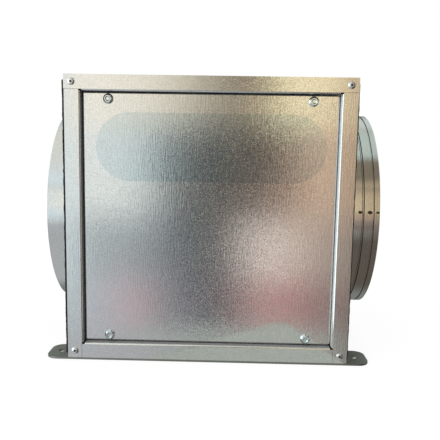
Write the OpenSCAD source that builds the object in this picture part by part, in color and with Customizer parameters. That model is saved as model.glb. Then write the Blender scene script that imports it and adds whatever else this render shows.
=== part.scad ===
// Inline duct fan in a square galvanised cabinet: a backward-curved impeller on an
// external-rotor DC motor draws air in at the left spigot and sends it out at the right one.
// X runs along the air path, Y from front to rear, Z up.
// The origin is on the floor, in the middle of the four holes of the mounting rails.

/* [Cabinet] */
// Outer width of the cabinet, along the air path
body_w = 400; // [390:1:480]
// Outer height of the cabinet, without its mounting rails
body_h = 400; // [390:1:480]
// Outer depth of the cabinet, front face to rear face
body_d = 420; // [400:1:500]
// Thickness of the galvanised sheet
sheet_t = 1.2; // [0.8:0.1:1.6]
// Outer radius of a fold in the sheet
fold_r = 2.2; // [1.8:0.1:3]

/* [Front frame] */
// Width of the frame, from the cabinet's edge to the wall of the opening
frame_w = 22; // [20:0.5:30]
// Depth from the frame's face to the face of the access panel
panel_recess = 10; // [8:0.5:16]
// Width of the inner flange that the access panel closes on
landing_w = 26; // [22:1:40]
// Thickness of the foam strip between the frame and the cabinet
frame_seal_t = 3; // [2:0.5:4]
// How far the foam strip bulges out on the inlet side
bulge_inlet = 3; // [0.5:0.1:4]
// How far the foam strip bulges out on the outlet side
bulge_outlet = 1.3; // [0.5:0.1:4]
// How far the top rail stands past each side of the cabinet
rail_overhang = 0.6; // [0:0.1:2]
// Open seam between two pieces of the frame
seam = 0.4; // [0.2:0.1:1]

/* [Access panel] */
// Gap all round between the panel and the wall of the opening
panel_gap = 1; // [0.5:0.1:3]
// Depth of the panel's folded edges
panel_lip = 8; // [6:0.5:12]
// Thickness of the foam strip that the panel closes on
panel_seal_t = 3; // [2:0.5:5]
// Width of that foam strip
panel_seal_w = 6; // [4:0.5:9]
// Distance of the bolts from the panel's side edges
bolt_side_inset = 36; // [32:1:60]
// Distance of the bolts from the panel's top and bottom edges
bolt_end_inset = 9; // [8:0.5:12]

/* [Spigots] */
// Outer radius of both spigots
spigot_r = 157; // [140:0.5:160]
// Wall of the spigots
spigot_t = 1; // [0.8:0.1:1.5]
// Length of the inlet spigot outside the cabinet
inlet_len = 42.5; // [30:0.5:80]
// Length of the outlet spigot outside the cabinet
outlet_len = 50; // [48:0.5:90]
// Width of the spigots' fixing flange inside the cabinet
spigot_flange_w = 13; // [11:0.5:14]
// Length of the narrower root between the side sheet and the full diameter
root_len = 2; // [1.5:0.5:4]
// How much smaller the root is, on the radius
root_neck = 0.6; // [0.5:0.1:1]
// Distance of the first rolled groove from the cabinet
groove_1_at = 25.5; // [20:0.5:30]
// Width of the first rolled groove
groove_1_w = 3.4; // [2:0.1:5]
// Distance of the second rolled groove from the cabinet
groove_2_at = 41; // [36:0.5:45]
// Width of the second rolled groove
groove_2_w = 2.2; // [1.5:0.1:4]
// Depth of the rolled grooves
groove_depth = 1.3; // [0.8:0.1:2]

/* [Mounting rails] */
// Front-to-back width of a mounting rail
mount_rail_w = 54; // [40:1:80]
// Thickness of a mounting rail
mount_rail_t = 3; // [3:0.5:5]
// How far a rail stands out past each side of the cabinet
mount_rail_reach = 33.5; // [28:0.5:50]
// Corner radius of the rail's ends
mount_rail_corner = 16; // [6:0.5:19]
// Diameter of the fixing holes
mount_hole_d = 10; // [7:0.5:12]
// Distance of the fixing holes from the rail's ends
mount_hole_inset = 17; // [12:0.5:20]

/* [Inlet cone] */
// Radius at which the cone starts to curve in from its flange
cone_mouth_r = 150; // [130:1:155]
// Radius of the cone's throat
cone_throat_r = 95; // [80:1:100]
// Depth of the cone's curve
cone_depth = 48; // [35:1:55]
// Length of the straight lip at the throat
cone_lip = 6; // [5:0.5:10]
// Thickness of the spun cone
cone_t = 1.5; // [1:0.1:2]

/* [Impeller] */
// Outer radius of the impeller
impeller_r = 140; // [132:1:150]
// Width of the impeller at its rim
rim_width = 70; // [50:1:80]
// Number of blades
blade_count = 7; // [5:1:11]
// Thickness of a blade
blade_t = 2; // [1.5:0.1:3]
// Radius at which the blades start on the back plate
blade_root_r = 88; // [80:1:92]
// Blade angle at the inner edge, measured from the tangent
blade_angle_in = 22; // [18:1:28]
// Blade angle at the outer edge, measured from the tangent
blade_angle_out = 34; // [30:1:40]
// Thickness of the back plate and of the shroud
impeller_t = 1.5; // [1:0.1:2]
// Radius by which the shroud sweeps out
shroud_sweep = 50; // [47:1:60]
// Depth of the shroud's curve
shroud_depth = 36; // [28:1:44]
// Running gap between the cone's lip and the shroud
eye_gap = 1.5; // [1:0.1:3]
// Length by which the shroud's collar laps over the cone's lip
eye_lap = 4; // [2:0.5:5]

/* [Motor] */
// Outer radius of the rotor cup
rotor_r = 51; // [49:0.5:56]
// Length of the rotor cup
rotor_len = 66; // [64:1:74]
// Wall of the rotor cup
rotor_t = 3; // [2:0.5:3.5]
// Radial air gap between the magnets and the stator
air_gap = 0.6; // [0.4:0.1:1]
// Thickness of the magnet ring
magnet_t = 3.4; // [2:0.2:4]
// Radius of the shaft
shaft_r = 6; // [5:0.5:7]
// Radial running clearance of the shaft in its bearings
shaft_clearance = 0.03; // [0.02:0.01:0.08]
// Outer radius of the ball bearings
bearing_r = 14; // [13:0.5:15]
// Width of a ball bearing
bearing_w = 8; // [7:0.5:9]
// Radius of the stator's mounting flange
stator_flange_r = 62; // [60:1:68]
// Thickness of the stator's mounting flange
stator_flange_t = 10; // [9:0.5:14]
// Radius of the electronics cover
cover_r = 46; // [42:1:48]
// Length of the electronics cover
cover_len = 40; // [32:1:50]

/* [Motor support] */
// Thickness of the support
support_t = 3; // [2:0.5:4]
// Width of a leg
leg_w = 26; // [20:1:30]
// Gap between the cone's flange and the rubber buffers
buffer_gap = 1; // [0.5:0.5:4]
// Length of the legs' feet
foot_len = 30; // [28:1:40]
// Radius of a rubber buffer
buffer_r = 10; // [8:0.5:11]
// Height of a rubber buffer
buffer_h = 8; // [6:0.5:12]

/* [Terminal box] */
// Width of the terminal box
box_w = 100; // [80:1:130]
// Height of the terminal box
box_h = 84; // [70:1:110]
// Depth of the terminal box, with its lid
box_d = 44; // [36:1:60]
// Wall of the terminal box
box_t = 2.5; // [2:0.5:4]
// Height of the box's middle above the fan's axis
box_rise = 80; // [60:1:110]
// Radius of the motor's lead
lead_r = 3.5; // [2.5:0.5:4]

/* [Fasteners] */
// Radius of a blind rivet's shank
rivet_r = 2.4; // [2:0.1:2.4]
// Radius of a blind rivet's head
rivet_head_r = 5.2; // [4:0.1:5.5]
// Radius of the panel bolts' thread
bolt_r = 3; // [2.5:0.5:3]
// Radius of the panel bolts' flange
bolt_flange_r = 7.1; // [6.5:0.1:7.5]
// Length of the panel bolts' shank
bolt_len = 20; // [19:1:26]
// Clearance of a fastener in its hole
hole_fit = 0.2; // [0.1:0.05:0.4]

/* [Hidden] */
$fn = 96;

// A cut runs this far past the faces it opens
cut = 1;

// Planes of the cabinet
x_side = body_w / 2;
y_front = -body_d / 2;
y_rear = body_d / 2;
z_bottom = mount_rail_t;
z_top = z_bottom + body_h;
z_axis = z_bottom + body_h / 2;

// The casing starts behind the frame's face and foam, and ends in front of the rear panel
y_casing = y_front + sheet_t + frame_seal_t;
y_casing_rear = y_rear - sheet_t;
casing_flange_w = frame_w - sheet_t - 1;
lip_h = 15;
lip_end = 30;

// Opening of the frame, and the access panel in it
open_w = body_w - 2 * frame_w;
open_h = body_h - 2 * frame_w;
face_w = frame_w - fold_r;
y_panel = y_front + panel_recess;
seal_inset = 1.1;
y_landing = y_panel + panel_lip + panel_seal_t;
frame_depth = y_landing + sheet_t - y_front;
panel_w = open_w - 2 * panel_gap;
panel_h = open_h - 2 * panel_gap;
seal_touch = 0.2;
bolt_x = panel_w / 2 - bolt_side_inset;
bolt_z = panel_h / 2 - bolt_end_inset;
nut_flange_r = 6.4;
nut_flange_t = 1;
nut_body_r = 4.4;
nut_len = 13;

// Rivets stand in the middle of the cabinet's flanges
rivet_edge = 10;
rivet_tail = 3;
side_rivet_y = [-150, 0, 150];

// Spigots, their flanges and the rivets through them
spigot_hole_r = spigot_r + hole_fit;
spigot_flange_r = spigot_r + spigot_flange_w;
spigot_rivet_r = spigot_r + spigot_flange_w / 2 + 1;
spigot_rivet_count = 8;

// Mounting rails
mount_rail_y = body_d / 2 - mount_rail_w / 2;
mount_rail_len = body_w + 2 * mount_rail_reach;
mount_hole_x = mount_rail_len / 2 - mount_hole_inset;
rail_screw_x = [-140, 0, 140];
rail_screw_r = 2.5;
rail_screw_head_r = 4.8;
rail_screw_head_h = 2.6;
rail_nut_h = 4;
rail_nut_r = 4.6;

// Stations along the air path, from the inlet side to the outlet side
function hundredth(v) = round(v * 100) / 100;
curve_steps = 10;
x_cone = -x_side + sheet_t + spigot_t;
x_lip_end = x_cone + cone_depth + cone_lip;
eye_r = cone_throat_r + cone_t + eye_gap;
x_collar = x_lip_end - eye_lap;
collar_len = eye_lap + 4;
x_shroud = x_collar + collar_len;
shroud_end = acos(1 - (impeller_r - eye_r) / shroud_sweep);
x_back = hundredth(x_shroud + shroud_depth * sin(shroud_end) + rim_width);

// Rotor, stator and bearings
rotor_flange_w = 15;
rotor_flange_t = 3;
rotor_nose_t = 4;
rotor_nose_round = 8;
rotor_boss_r = 12;
rotor_boss_len = 8;
x_nose = x_back - rotor_len;
rotor_screw_r = rotor_r + rotor_flange_w / 2;
rotor_screw_count = 6;
magnet_r = rotor_r - rotor_t - magnet_t;
core_r = magnet_r - air_gap;
core_len = 30;
magnet_len = core_len + 4;
tube_r = bearing_r + 4;
shoulder_r = bearing_r - 2;
washer_t = 1.2;
x_tube = x_nose + rotor_nose_t + rotor_boss_len + 2;
x_flange = x_back + impeller_t + 4;
x_core = (x_tube + x_flange) / 2 - core_len / 2;
x_bearing_2 = x_flange - bearing_w;
circlip_t = 1;
x_circlip = x_flange + 0.1;
groove_fit = 0.05;
x_plate = x_flange + stator_flange_t;
x_cover = x_plate + support_t;
motor_screw_pcr = stator_flange_r - 8;
motor_screw_len = 11;

// Motor support: four legs on the diagonals, each on a rubber buffer
leg_angles = [45, 135, 225, 315];
x_foot = -x_side + sheet_t + buffer_h;
nut_room = 4;
buffer_at = spigot_flange_r + buffer_gap + buffer_r;
leg_r = buffer_at - buffer_r - nut_room - support_t;
buffer_fit = 0.02;
support_bolt_r = 3;
support_nut_h = 5;
support_fold = support_t + 3;
arm_w = leg_w + 6;
arm_over = 2;
weld_bite = 1;
fold_steps = 8;

// Lead from the motor to the terminal box
x_lead = x_cover + 20;
lead_bend = 25;
lead_port_r = 8;
lead_port_len = 14;
y_lead_turn = 100;
y_lead_up = y_lead_turn + lead_bend;
z_lead_out = z_axis + box_rise;
grommet_r = lead_r + 3;
grommet_lip = 2.5;

// Terminal box
lid_t = 3;
box_z0 = z_lead_out - box_h / 2;
gland_x = x_lead;
gland_y = y_rear + (box_d - lid_t) / 2;
gland_bore_r = 4.5;
gland_thread_r = 9;
gland_hex_r = 13;
lid_screw_in = 7;
lid_screw_bite = 10;
lid_head_r = 3.6;
lid_head_h = 2;
box_corner = 8;

// Rounded folds of the sheet are quarter rings between the radii fold_r - sheet_t and fold_r.
// Each profile is drawn with u, the distance in from an edge, along x and the depth v along y.
module fold_arc(cu, cv, su, sv, r = fold_r, t = sheet_t) {
    translate([cu, cv])
        mirror([su < 0 ? 1 : 0, 0])
            mirror([0, sv < 0 ? 1 : 0])
                intersection() {
                    difference() {
                        circle(r);
                        circle(r - t);
                    }
                    square(r);
                }
}

module from_to(u0, u1, v0, v1) {
    translate([u0, v0])
        square([u1 - u0, v1 - v0]);
}

// Face and return wall of the front frame
module frame_wall_profile() {
    from_to(0, face_w, 0, sheet_t);
    fold_arc(face_w, fold_r, 1, -1);
    from_to(frame_w - sheet_t, frame_w, fold_r, frame_depth - fold_r);
}

// Inner flange that the panel closes on
module landing_profile() {
    fold_arc(frame_w - sheet_t + fold_r, frame_depth - fold_r, -1, 1);
    from_to(frame_w - sheet_t + fold_r, frame_w + landing_w, frame_depth - sheet_t, frame_depth);
}

// Wall of the casing with its front and rear flanges; v runs from the casing's front plane
module casing_profile(depth) {
    from_to(0, sheet_t, fold_r, depth - fold_r);
    fold_arc(fold_r, fold_r, -1, -1);
    fold_arc(fold_r, depth - fold_r, -1, 1);
    from_to(fold_r, casing_flange_w, 0, sheet_t);
    from_to(fold_r, casing_flange_w, depth - sheet_t, depth);
}

// A length along Z on the inlet side, with u towards the outlet side
module upright(z0, z1, y0) {
    translate([-x_side, y0, z0])
        linear_extrude(z1 - z0)
            children();
}

// A length along X, centred, at the top of the cabinet, with u downwards
module crossing(length, y0) {
    translate([-length / 2, y0, z_top])
        rotate([0, 90, 0])
            linear_extrude(length)
                children();
}

module flip_x() {
    mirror([1, 0, 0])
        children();
}

module flip_z() {
    translate([0, 0, 2 * z_axis])
        mirror([0, 0, 1])
            children();
}

// Local +Z turned to each outward direction
module facing_front() {
    rotate([90, 0, 0])
        children();
}

module facing_rear() {
    rotate([-90, 0, 0])
        children();
}

module facing_outlet() {
    rotate([0, 90, 0])
        children();
}

module facing_inlet() {
    rotate([0, -90, 0])
        children();
}

// Solids of revolution about the fan's axis; points are [radius, x]
module turned(points) {
    translate([0, 0, z_axis])
        rotate([0, 90, 0])
            rotate_extrude()
                polygon(points);
}

module turned_ring(r0, r1, x0, x1) {
    turned([[r0, x0], [r1, x0], [r1, x1], [r0, x1]]);
}

module around_axis(angles, radius) {
    translate([0, 0, z_axis])
        for (a = angles)
            rotate([a, 0, 0])
                translate([0, 0, radius])
                    children();
}

function spread(count, start = 0) = [for (i = [0 : count - 1]) start + i * 360 / count];

// Blind rivet: domed head with the mandrel's hole, shank and upset tail, head towards +Z
module blind_rivet(grip) {
    head_h = 1.7;
    rotate_extrude()
        polygon([
            [0, -grip - rivet_tail],
            [rivet_r + 0.8, -grip - rivet_tail],
            [rivet_r + 0.8, -grip],
            [rivet_r, -grip],
            [rivet_r, 0],
            [rivet_head_r, 0],
            [rivet_head_r - 0.3, 0.6],
            [rivet_head_r - 1.4, 1.3],
            [rivet_head_r - 2.8, head_h],
            [1.7, head_h],
            [1.5, 1.3],
            [1.5, 0.3],
            [0, 0.3]
        ]);
}

module rivet_hole(grip) {
    translate([0, 0, -grip - cut])
        cylinder(r = rivet_r + hole_fit, h = grip + 2 * cut);
}

module hole_z(r, z0, z1) {
    translate([0, 0, z0 - cut])
        cylinder(r = r, h = z1 - z0 + 2 * cut);
}

module at_corner_rivets() {
    for (sx = [-1, 1], sz = [-1, 1])
        translate([sx * (x_side - rivet_edge), y_front, z_axis + sz * (body_h / 2 - rivet_edge)])
            facing_front()
                children();
}

module at_rear_rivets() {
    for (ix = [-1 : 1], iz = [-1 : 1])
        if (ix != 0 || iz != 0)
            translate([ix * (x_side - rivet_edge), y_rear, z_axis + iz * (body_h / 2 - rivet_edge)])
                facing_rear()
                    children();
}

// Rivets that hold the top and bottom panels' lips to one side panel
module at_side_rivets() {
    for (y = side_rivet_y, sz = [-1, 1])
        translate([x_side, y, z_axis + sz * (body_h / 2 - sheet_t - lip_h / 2)])
            facing_outlet()
                children();
}

module at_rail_screws(y) {
    for (x = rail_screw_x)
        translate([x, y, 0])
            children();
}

module at_panel_bolts() {
    for (sx = [-1, 1], sz = [-1, 1])
        translate([sx * bolt_x, y_panel, z_axis + sz * bolt_z])
            facing_front()
                children();
}

module frame_grip_holes() {
    at_corner_rivets()
        rivet_hole(frame_seal_t + 2 * sheet_t);
}

// ---- Casing ----

// Top sheet with its front and rear flanges and the two lips inside the side panels
module cover_sheet() {
    depth = y_casing_rear - y_casing;
    flange_span = body_w - 2 * sheet_t - 0.4;
    difference() {
        union() {
            crossing(flange_span, y_casing)
                casing_profile(depth);
            crossing(body_w, y_casing + fold_r)
                from_to(0, sheet_t, 0, depth - 2 * fold_r);
            for (side = [0, 1])
                mirror([side, 0, 0])
                    translate([x_side - 2 * sheet_t, -body_d / 2 + lip_end, z_top - lip_h - sheet_t])
                        cube([sheet_t, body_d - 2 * lip_end, lip_h + sheet_t / 2]);
        }
        frame_grip_holes();
        at_rear_rivets()
            rivet_hole(2 * sheet_t);
        for (side = [0, 1])
            mirror([side, 0, 0])
                at_side_rivets()
                    rivet_hole(2 * sheet_t);
    }
}

module top_panel() {
    color([0.74, 0.75, 0.74])
        cover_sheet();
}

module bottom_panel() {
    color([0.74, 0.75, 0.74])
        difference() {
            flip_z()
                cover_sheet();
            for (side = [-1, 1])
                at_rail_screws(side * mount_rail_y)
                    hole_z(rail_screw_r + hole_fit, z_bottom, z_bottom + sheet_t);
        }
}

// Side sheet with its flanges and the round hole for a spigot, on the inlet side
module side_sheet() {
    depth = y_casing_rear - y_casing;
    z_low = z_bottom + sheet_t;
    z_high = z_top - sheet_t;
    corner = casing_flange_w + 0.4;
    difference() {
        union() {
            upright(z_bottom + corner, z_top - corner, y_casing)
                casing_profile(depth);
            for (span = [[z_low, z_bottom + corner], [z_top - corner, z_high]])
                upright(span[0], span[1], y_casing + fold_r)
                    from_to(0, sheet_t, 0, depth - 2 * fold_r);
        }
        translate([-x_side - cut, 0, z_axis])
            facing_outlet()
                cylinder(r = spigot_hole_r, h = sheet_t + 2 * cut);
        flip_x()
            at_side_rivets()
                rivet_hole(2 * sheet_t);
        flip_x()
            at_spigot_rivets()
                rivet_hole(2 * sheet_t);
        at_rear_rivets()
            rivet_hole(2 * sheet_t);
    }
}

// Rivet places round the outlet spigot, heads outwards
module at_spigot_rivets() {
    around_axis(spread(spigot_rivet_count, 180 / spigot_rivet_count), spigot_rivet_r)
        translate([x_side, 0, 0])
            facing_outlet()
                children();
}

module inlet_side_panel() {
    color([0.72, 0.73, 0.72])
        difference() {
            side_sheet();
            around_axis(leg_angles, buffer_at)
                translate([-x_side, 0, 0])
                    facing_outlet()
                        hole_z(support_bolt_r + hole_fit, 0, sheet_t);
        }
}

module outlet_side_panel() {
    color([0.72, 0.73, 0.72])
        flip_x()
            side_sheet();
}

module rear_panel() {
    color([0.73, 0.74, 0.73])
        difference() {
            translate([-x_side, y_casing_rear, z_bottom])
                cube([body_w, sheet_t, body_h]);
            at_rear_rivets()
                rivet_hole(sheet_t);
            translate([x_lead, y_rear, z_lead_out])
                facing_rear()
                    hole_z(grommet_r + hole_fit, -sheet_t, 0);
            at_box_screws()
                hole_z(2 + hole_fit, -sheet_t, 0);
        }
}

// ---- Front frame ----

module top_rail() {
    color([0.78, 0.78, 0.76])
        difference() {
            union() {
                crossing(body_w + 2 * rail_overhang, y_front)
                    from_to(0, face_w, 0, sheet_t);
                crossing(open_w - 2 * fold_r, y_front)
                    frame_wall_profile();
                crossing(open_w - 2 * landing_w - 2 * seam, y_front)
                    landing_profile();
            }
            frame_grip_holes();
            at_panel_bolts()
                hole_z(nut_body_r + hole_fit, y_panel - y_landing - sheet_t, y_panel - y_landing);
        }
}

module bottom_rail() {
    color([0.78, 0.78, 0.76])
        difference() {
            flip_z() {
                crossing(body_w - 2 * face_w - 2 * seam, y_front)
                    from_to(0, face_w, 0, sheet_t);
                crossing(open_w - 2 * fold_r, y_front)
                    frame_wall_profile();
                crossing(open_w - 2 * landing_w - 2 * seam, y_front)
                    landing_profile();
            }
            at_panel_bolts()
                hole_z(nut_body_r + hole_fit, y_panel - y_landing - sheet_t, y_panel - y_landing);
        }
}

module stile() {
    color([0.78, 0.78, 0.76])
        difference() {
            union() {
                upright(z_bottom, z_top - face_w - seam, y_front)
                    from_to(0, face_w, 0, sheet_t);
                upright(z_bottom + frame_w, z_top - frame_w, y_front) {
                    frame_wall_profile();
                    landing_profile();
                }
            }
            frame_grip_holes();
        }
}

module left_stile() {
    stile();
}

module right_stile() {
    flip_x()
        stile();
}

// Foam strip between the frame and the casing, squeezed out along both sides
module frame_seal() {
    inner = casing_flange_w;
    strip_w = body_w - 2 * inner;
    color([0.05, 0.05, 0.05])
        difference() {
            translate([0, y_front + sheet_t, 0]) {
                translate([-x_side, 0, z_bottom])
                    cube([body_w, frame_seal_t, body_h]);
                translate([-x_side - bulge_inlet, 0, z_bottom + 6])
                    cube([bulge_inlet + cut, frame_seal_t, body_h - 14]);
                translate([x_side - cut, 0, z_bottom + 6])
                    cube([bulge_outlet + cut, frame_seal_t, body_h - 14]);
            }
            translate([-strip_w / 2, y_front, z_bottom + inner])
                cube([strip_w, frame_seal_t + 2 * sheet_t, body_h - 2 * inner]);
            frame_grip_holes();
        }
}

module corner_rivets() {
    color([0.6, 0.62, 0.63])
        at_corner_rivets()
            blind_rivet(frame_seal_t + 2 * sheet_t);
}

module side_rivets() {
    color([0.6, 0.62, 0.63])
        for (side = [0, 1])
            mirror([side, 0, 0])
                at_side_rivets()
                    blind_rivet(2 * sheet_t);
}

module rear_rivets() {
    color([0.6, 0.62, 0.63])
        at_rear_rivets()
            blind_rivet(2 * sheet_t);
}

// ---- Spigots and inlet cone ----

// Spigot wall on the outlet side; a groove is rolled into both faces of the wall
function groove_points(r, at, w) = [
    [r, at - w / 2],
    [r - groove_depth, at - w / 6],
    [r - groove_depth, at + w / 6],
    [r, at + w / 2]
];

function flip_points(points) = [for (i = [len(points) - 1 : -1 : 0]) points[i]];

module spigot(length, grooves) {
    outer = [for (g = grooves) each groove_points(spigot_r, g[0], g[1])];
    inner = [for (g = grooves) each groove_points(spigot_r - spigot_t, g[0], g[1])];
    flange_x = -sheet_t - spigot_t;
    neck_r = spigot_r - root_neck;
    points = concat(
        [[neck_r - spigot_t, flange_x], [spigot_flange_r, flange_x],
         [spigot_flange_r, -sheet_t], [neck_r, -sheet_t],
         [neck_r, root_len], [spigot_r, root_len + root_neck]],
        outer,
        [[spigot_r, length], [spigot_r - spigot_t, length]],
        flip_points(inner),
        [[spigot_r - spigot_t, root_len + root_neck], [neck_r - spigot_t, root_len]]
    );
    difference() {
        translate([x_side, 0, 0])
            turned(points);
        at_spigot_rivets()
            rivet_hole(2 * sheet_t + spigot_t);
    }
}

module inlet_spigot() {
    color([0.7, 0.72, 0.72])
        flip_x()
            spigot(inlet_len, []);
}

module outlet_spigot() {
    color([0.7, 0.72, 0.72])
        spigot(outlet_len, [[groove_1_at, groove_1_w], [groove_2_at, groove_2_w]]);
}

module spigot_rivets() {
    color([0.6, 0.62, 0.63]) {
        at_spigot_rivets()
            blind_rivet(sheet_t + spigot_t);
        flip_x()
            at_spigot_rivets()
                blind_rivet(sheet_t + spigot_t + cone_t);
    }
}

// Quarter ellipse of the bellmouth, at a distance of back behind its air side
function cone_curve(back) = [for (i = [0 : curve_steps])
    let (a = 90 * i / curve_steps)
    [cone_mouth_r - (cone_mouth_r - cone_throat_r - back) * sin(a),
     x_cone + back + (cone_depth - back) * (1 - cos(a))]];

module inlet_cone() {
    color([0.68, 0.69, 0.7])
        difference() {
            turned(concat(
                [[spigot_flange_r, x_cone + cone_t], [spigot_flange_r, x_cone]],
                cone_curve(0),
                [[cone_throat_r, x_lip_end], [cone_throat_r + cone_t, x_lip_end]],
                flip_points(cone_curve(cone_t))
            ));
            flip_x()
                at_spigot_rivets()
                    rivet_hole(sheet_t + spigot_t + cone_t);
        }
}

// ---- Mounting rails ----

module mounting_rail() {
    half_l = mount_rail_len / 2 - mount_rail_corner;
    half_w = mount_rail_w / 2 - mount_rail_corner;
    difference() {
        union() {
            translate([-mount_rail_len / 2, -half_w, 0])
                cube([mount_rail_len, 2 * half_w, mount_rail_t]);
            translate([-half_l, -mount_rail_w / 2, 0])
                cube([2 * half_l, mount_rail_w, mount_rail_t]);
            for (sx = [-1, 1], sy = [-1, 1])
                translate([sx * half_l, sy * half_w, 0])
                    cylinder(r = mount_rail_corner, h = mount_rail_t);
        }
        for (sx = [-1, 1])
            translate([sx * mount_hole_x, 0, 0])
                hole_z(mount_hole_d / 2, 0, mount_rail_t);
        at_rail_screws(0) {
            hole_z(rail_screw_r + hole_fit, 0, mount_rail_t);
            cylinder(r1 = rail_screw_head_r + hole_fit, r2 = rail_screw_r + hole_fit,
                     h = rail_screw_head_h + hole_fit / 2);
        }
    }
}

module front_mounting_rail() {
    color([0.45, 0.46, 0.45])
        translate([0, -mount_rail_y, 0])
            mounting_rail();
}

module rear_mounting_rail() {
    color([0.45, 0.46, 0.45])
        translate([0, mount_rail_y, 0])
            mounting_rail();
}

module rail_screws() {
    top = mount_rail_t + sheet_t + rail_nut_h + 2;
    color([0.62, 0.63, 0.64])
        for (side = [-1, 1])
            at_rail_screws(side * mount_rail_y)
                rotate_extrude()
                    polygon([
                        [0, 0.1],
                        [rail_screw_head_r, 0.1],
                        [rail_screw_r, rail_screw_head_h],
                        [rail_screw_r, top],
                        [0, top]
                    ]);
}

module rail_nuts() {
    color([0.62, 0.63, 0.64])
        for (side = [-1, 1])
            at_rail_screws(side * mount_rail_y)
                translate([0, 0, z_bottom + sheet_t])
                    difference() {
                        cylinder(r = rail_nut_r, h = rail_nut_h, $fn = 6);
                        hole_z(rail_screw_r, 0, rail_nut_h);
                    }
}

// ---- Access panel and its fixings ----

module panel_edge_profile() {
    fold_arc(fold_r, fold_r, -1, -1);
    from_to(0, sheet_t, fold_r, panel_lip - seal_touch);
}

// Tray with four folded edges and open corners
module access_panel() {
    edge_gap = fold_r + 0.3;
    color([0.8, 0.8, 0.79])
        difference() {
            union() {
                translate([-panel_w / 2 + fold_r, y_panel, z_axis - panel_h / 2 + fold_r])
                    cube([panel_w - 2 * fold_r, sheet_t, panel_h - 2 * fold_r]);
                for (side = [0, 1]) {
                    mirror([side, 0, 0])
                        translate([-panel_w / 2, y_panel, z_axis - panel_h / 2 + edge_gap])
                            linear_extrude(panel_h - 2 * edge_gap)
                                panel_edge_profile();
                    translate([0, 0, z_axis])
                        mirror([0, 0, side])
                            translate([-panel_w / 2 + edge_gap, y_panel, panel_h / 2])
                                rotate([0, 90, 0])
                                    linear_extrude(panel_w - 2 * edge_gap)
                                        panel_edge_profile();
                }
            }
            at_panel_bolts()
                hole_z(bolt_r + hole_fit, -sheet_t, 0);
        }
}

// Hexagon flange bolts, captive in the panel
module panel_bolts() {
    flange_t = 1.3;
    skirt_h = 2.6;
    head_h = 6;
    hex_r = 5.6;
    dish_r = 3.6;
    color([0.72, 0.74, 0.76])
        at_panel_bolts() {
            rotate_extrude()
                polygon([
                    [0, -bolt_len],
                    [bolt_r - 0.6, -bolt_len],
                    [bolt_r, -bolt_len + 1],
                    [bolt_r, 0],
                    [bolt_flange_r, 0],
                    [bolt_flange_r, flange_t * 0.6],
                    [bolt_flange_r - 0.4, flange_t],
                    [hex_r - 0.6, skirt_h],
                    [0, skirt_h]
                ]);
            difference() {
                intersection() {
                    translate([0, 0, skirt_h])
                        cylinder(r = hex_r, h = head_h - skirt_h, $fn = 6);
                    cylinder(r1 = hex_r + head_h - 1.2, r2 = hex_r - 1.2, h = head_h);
                }
                translate([0, 0, head_h - 0.7])
                    cylinder(r = dish_r, h = 2);
            }
        }
}

// Foam strip on the landing, notched round the rivet nuts
module panel_seal() {
    outer_w = open_w - 2 * seal_inset;
    outer_h = open_h - 2 * seal_inset;
    color([0.06, 0.06, 0.06])
        difference() {
            translate([-outer_w / 2, y_landing - panel_seal_t, z_axis - outer_h / 2])
                cube([outer_w, panel_seal_t, outer_h]);
            translate([-outer_w / 2 + panel_seal_w, y_landing - panel_seal_t - cut,
                       z_axis - outer_h / 2 + panel_seal_w])
                cube([outer_w - 2 * panel_seal_w, panel_seal_t + 2 * cut,
                      outer_h - 2 * panel_seal_w]);
            at_panel_bolts()
                hole_z(nut_flange_r + hole_fit, y_panel - y_landing, y_panel - y_landing
                       + panel_seal_t);
        }
}

module rivet_nuts() {
    color([0.7, 0.66, 0.5])
        at_panel_bolts()
            translate([0, 0, y_panel - y_landing])
                difference() {
                    union() {
                        cylinder(r = nut_flange_r, h = nut_flange_t);
                        translate([0, 0, -nut_len])
                            cylinder(r = nut_body_r, h = nut_len);
                        translate([0, 0, -sheet_t - 3])
                            cylinder(r = nut_body_r + 1, h = 3);
                    }
                    hole_z(bolt_r + hole_fit, -nut_len, nut_flange_t);
                }
}

// ---- Motor support ----

// Arc of a fold round a centre, from one angle to another
function arc_points(centre, r, a0, a1) = [for (i = [0 : fold_steps])
    let (a = a0 + (a1 - a0) * i / fold_steps)
    centre + r * [sin(a), cos(a)]];

// Leg and foot as one folded strip, drawn with X along x and the radius along y; it is
// welded into the underside of its arm
module leg_profile() {
    r = support_fold;
    t = support_t;
    foot_end = leg_r + foot_len;
    ankle = [x_foot + r, leg_r + r];
    polygon(concat(
        [[x_plate + weld_bite, leg_r + t]],
        arc_points(ankle, r - t, 180, 270),
        [[x_foot + t, foot_end], [x_foot, foot_end]],
        arc_points(ankle, r, 270, 180),
        [[x_plate + weld_bite, leg_r]]
    ));
}

// Middle plate and its four arms, cut from one sheet
module arm_outline() {
    difference() {
        union() {
            circle(r = stator_flange_r + 8);
            for (a = [45, 135])
                rotate(a)
                    square([2 * (leg_r + support_t + arm_over), arm_w], center = true);
        }
        circle(r = bearing_r + 6);
    }
}

module motor_support() {
    color([0.55, 0.57, 0.58])
        difference() {
            union() {
                translate([x_plate, 0, z_axis])
                    rotate([0, 90, 0])
                        linear_extrude(support_t)
                            arm_outline();
                translate([0, 0, z_axis])
                    for (a = leg_angles)
                        rotate([a, 0, 0])
                            translate([0, leg_w / 2, 0])
                                rotate([90, 0, 0])
                                    linear_extrude(leg_w)
                                        leg_profile();
            }
            around_axis(leg_angles, buffer_at)
                facing_outlet()
                    hole_z(support_bolt_r + hole_fit, x_foot, x_foot + support_t);
            at_motor_screws()
                hole_z(2.5 + hole_fit, -support_t, 0);
        }
}

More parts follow.
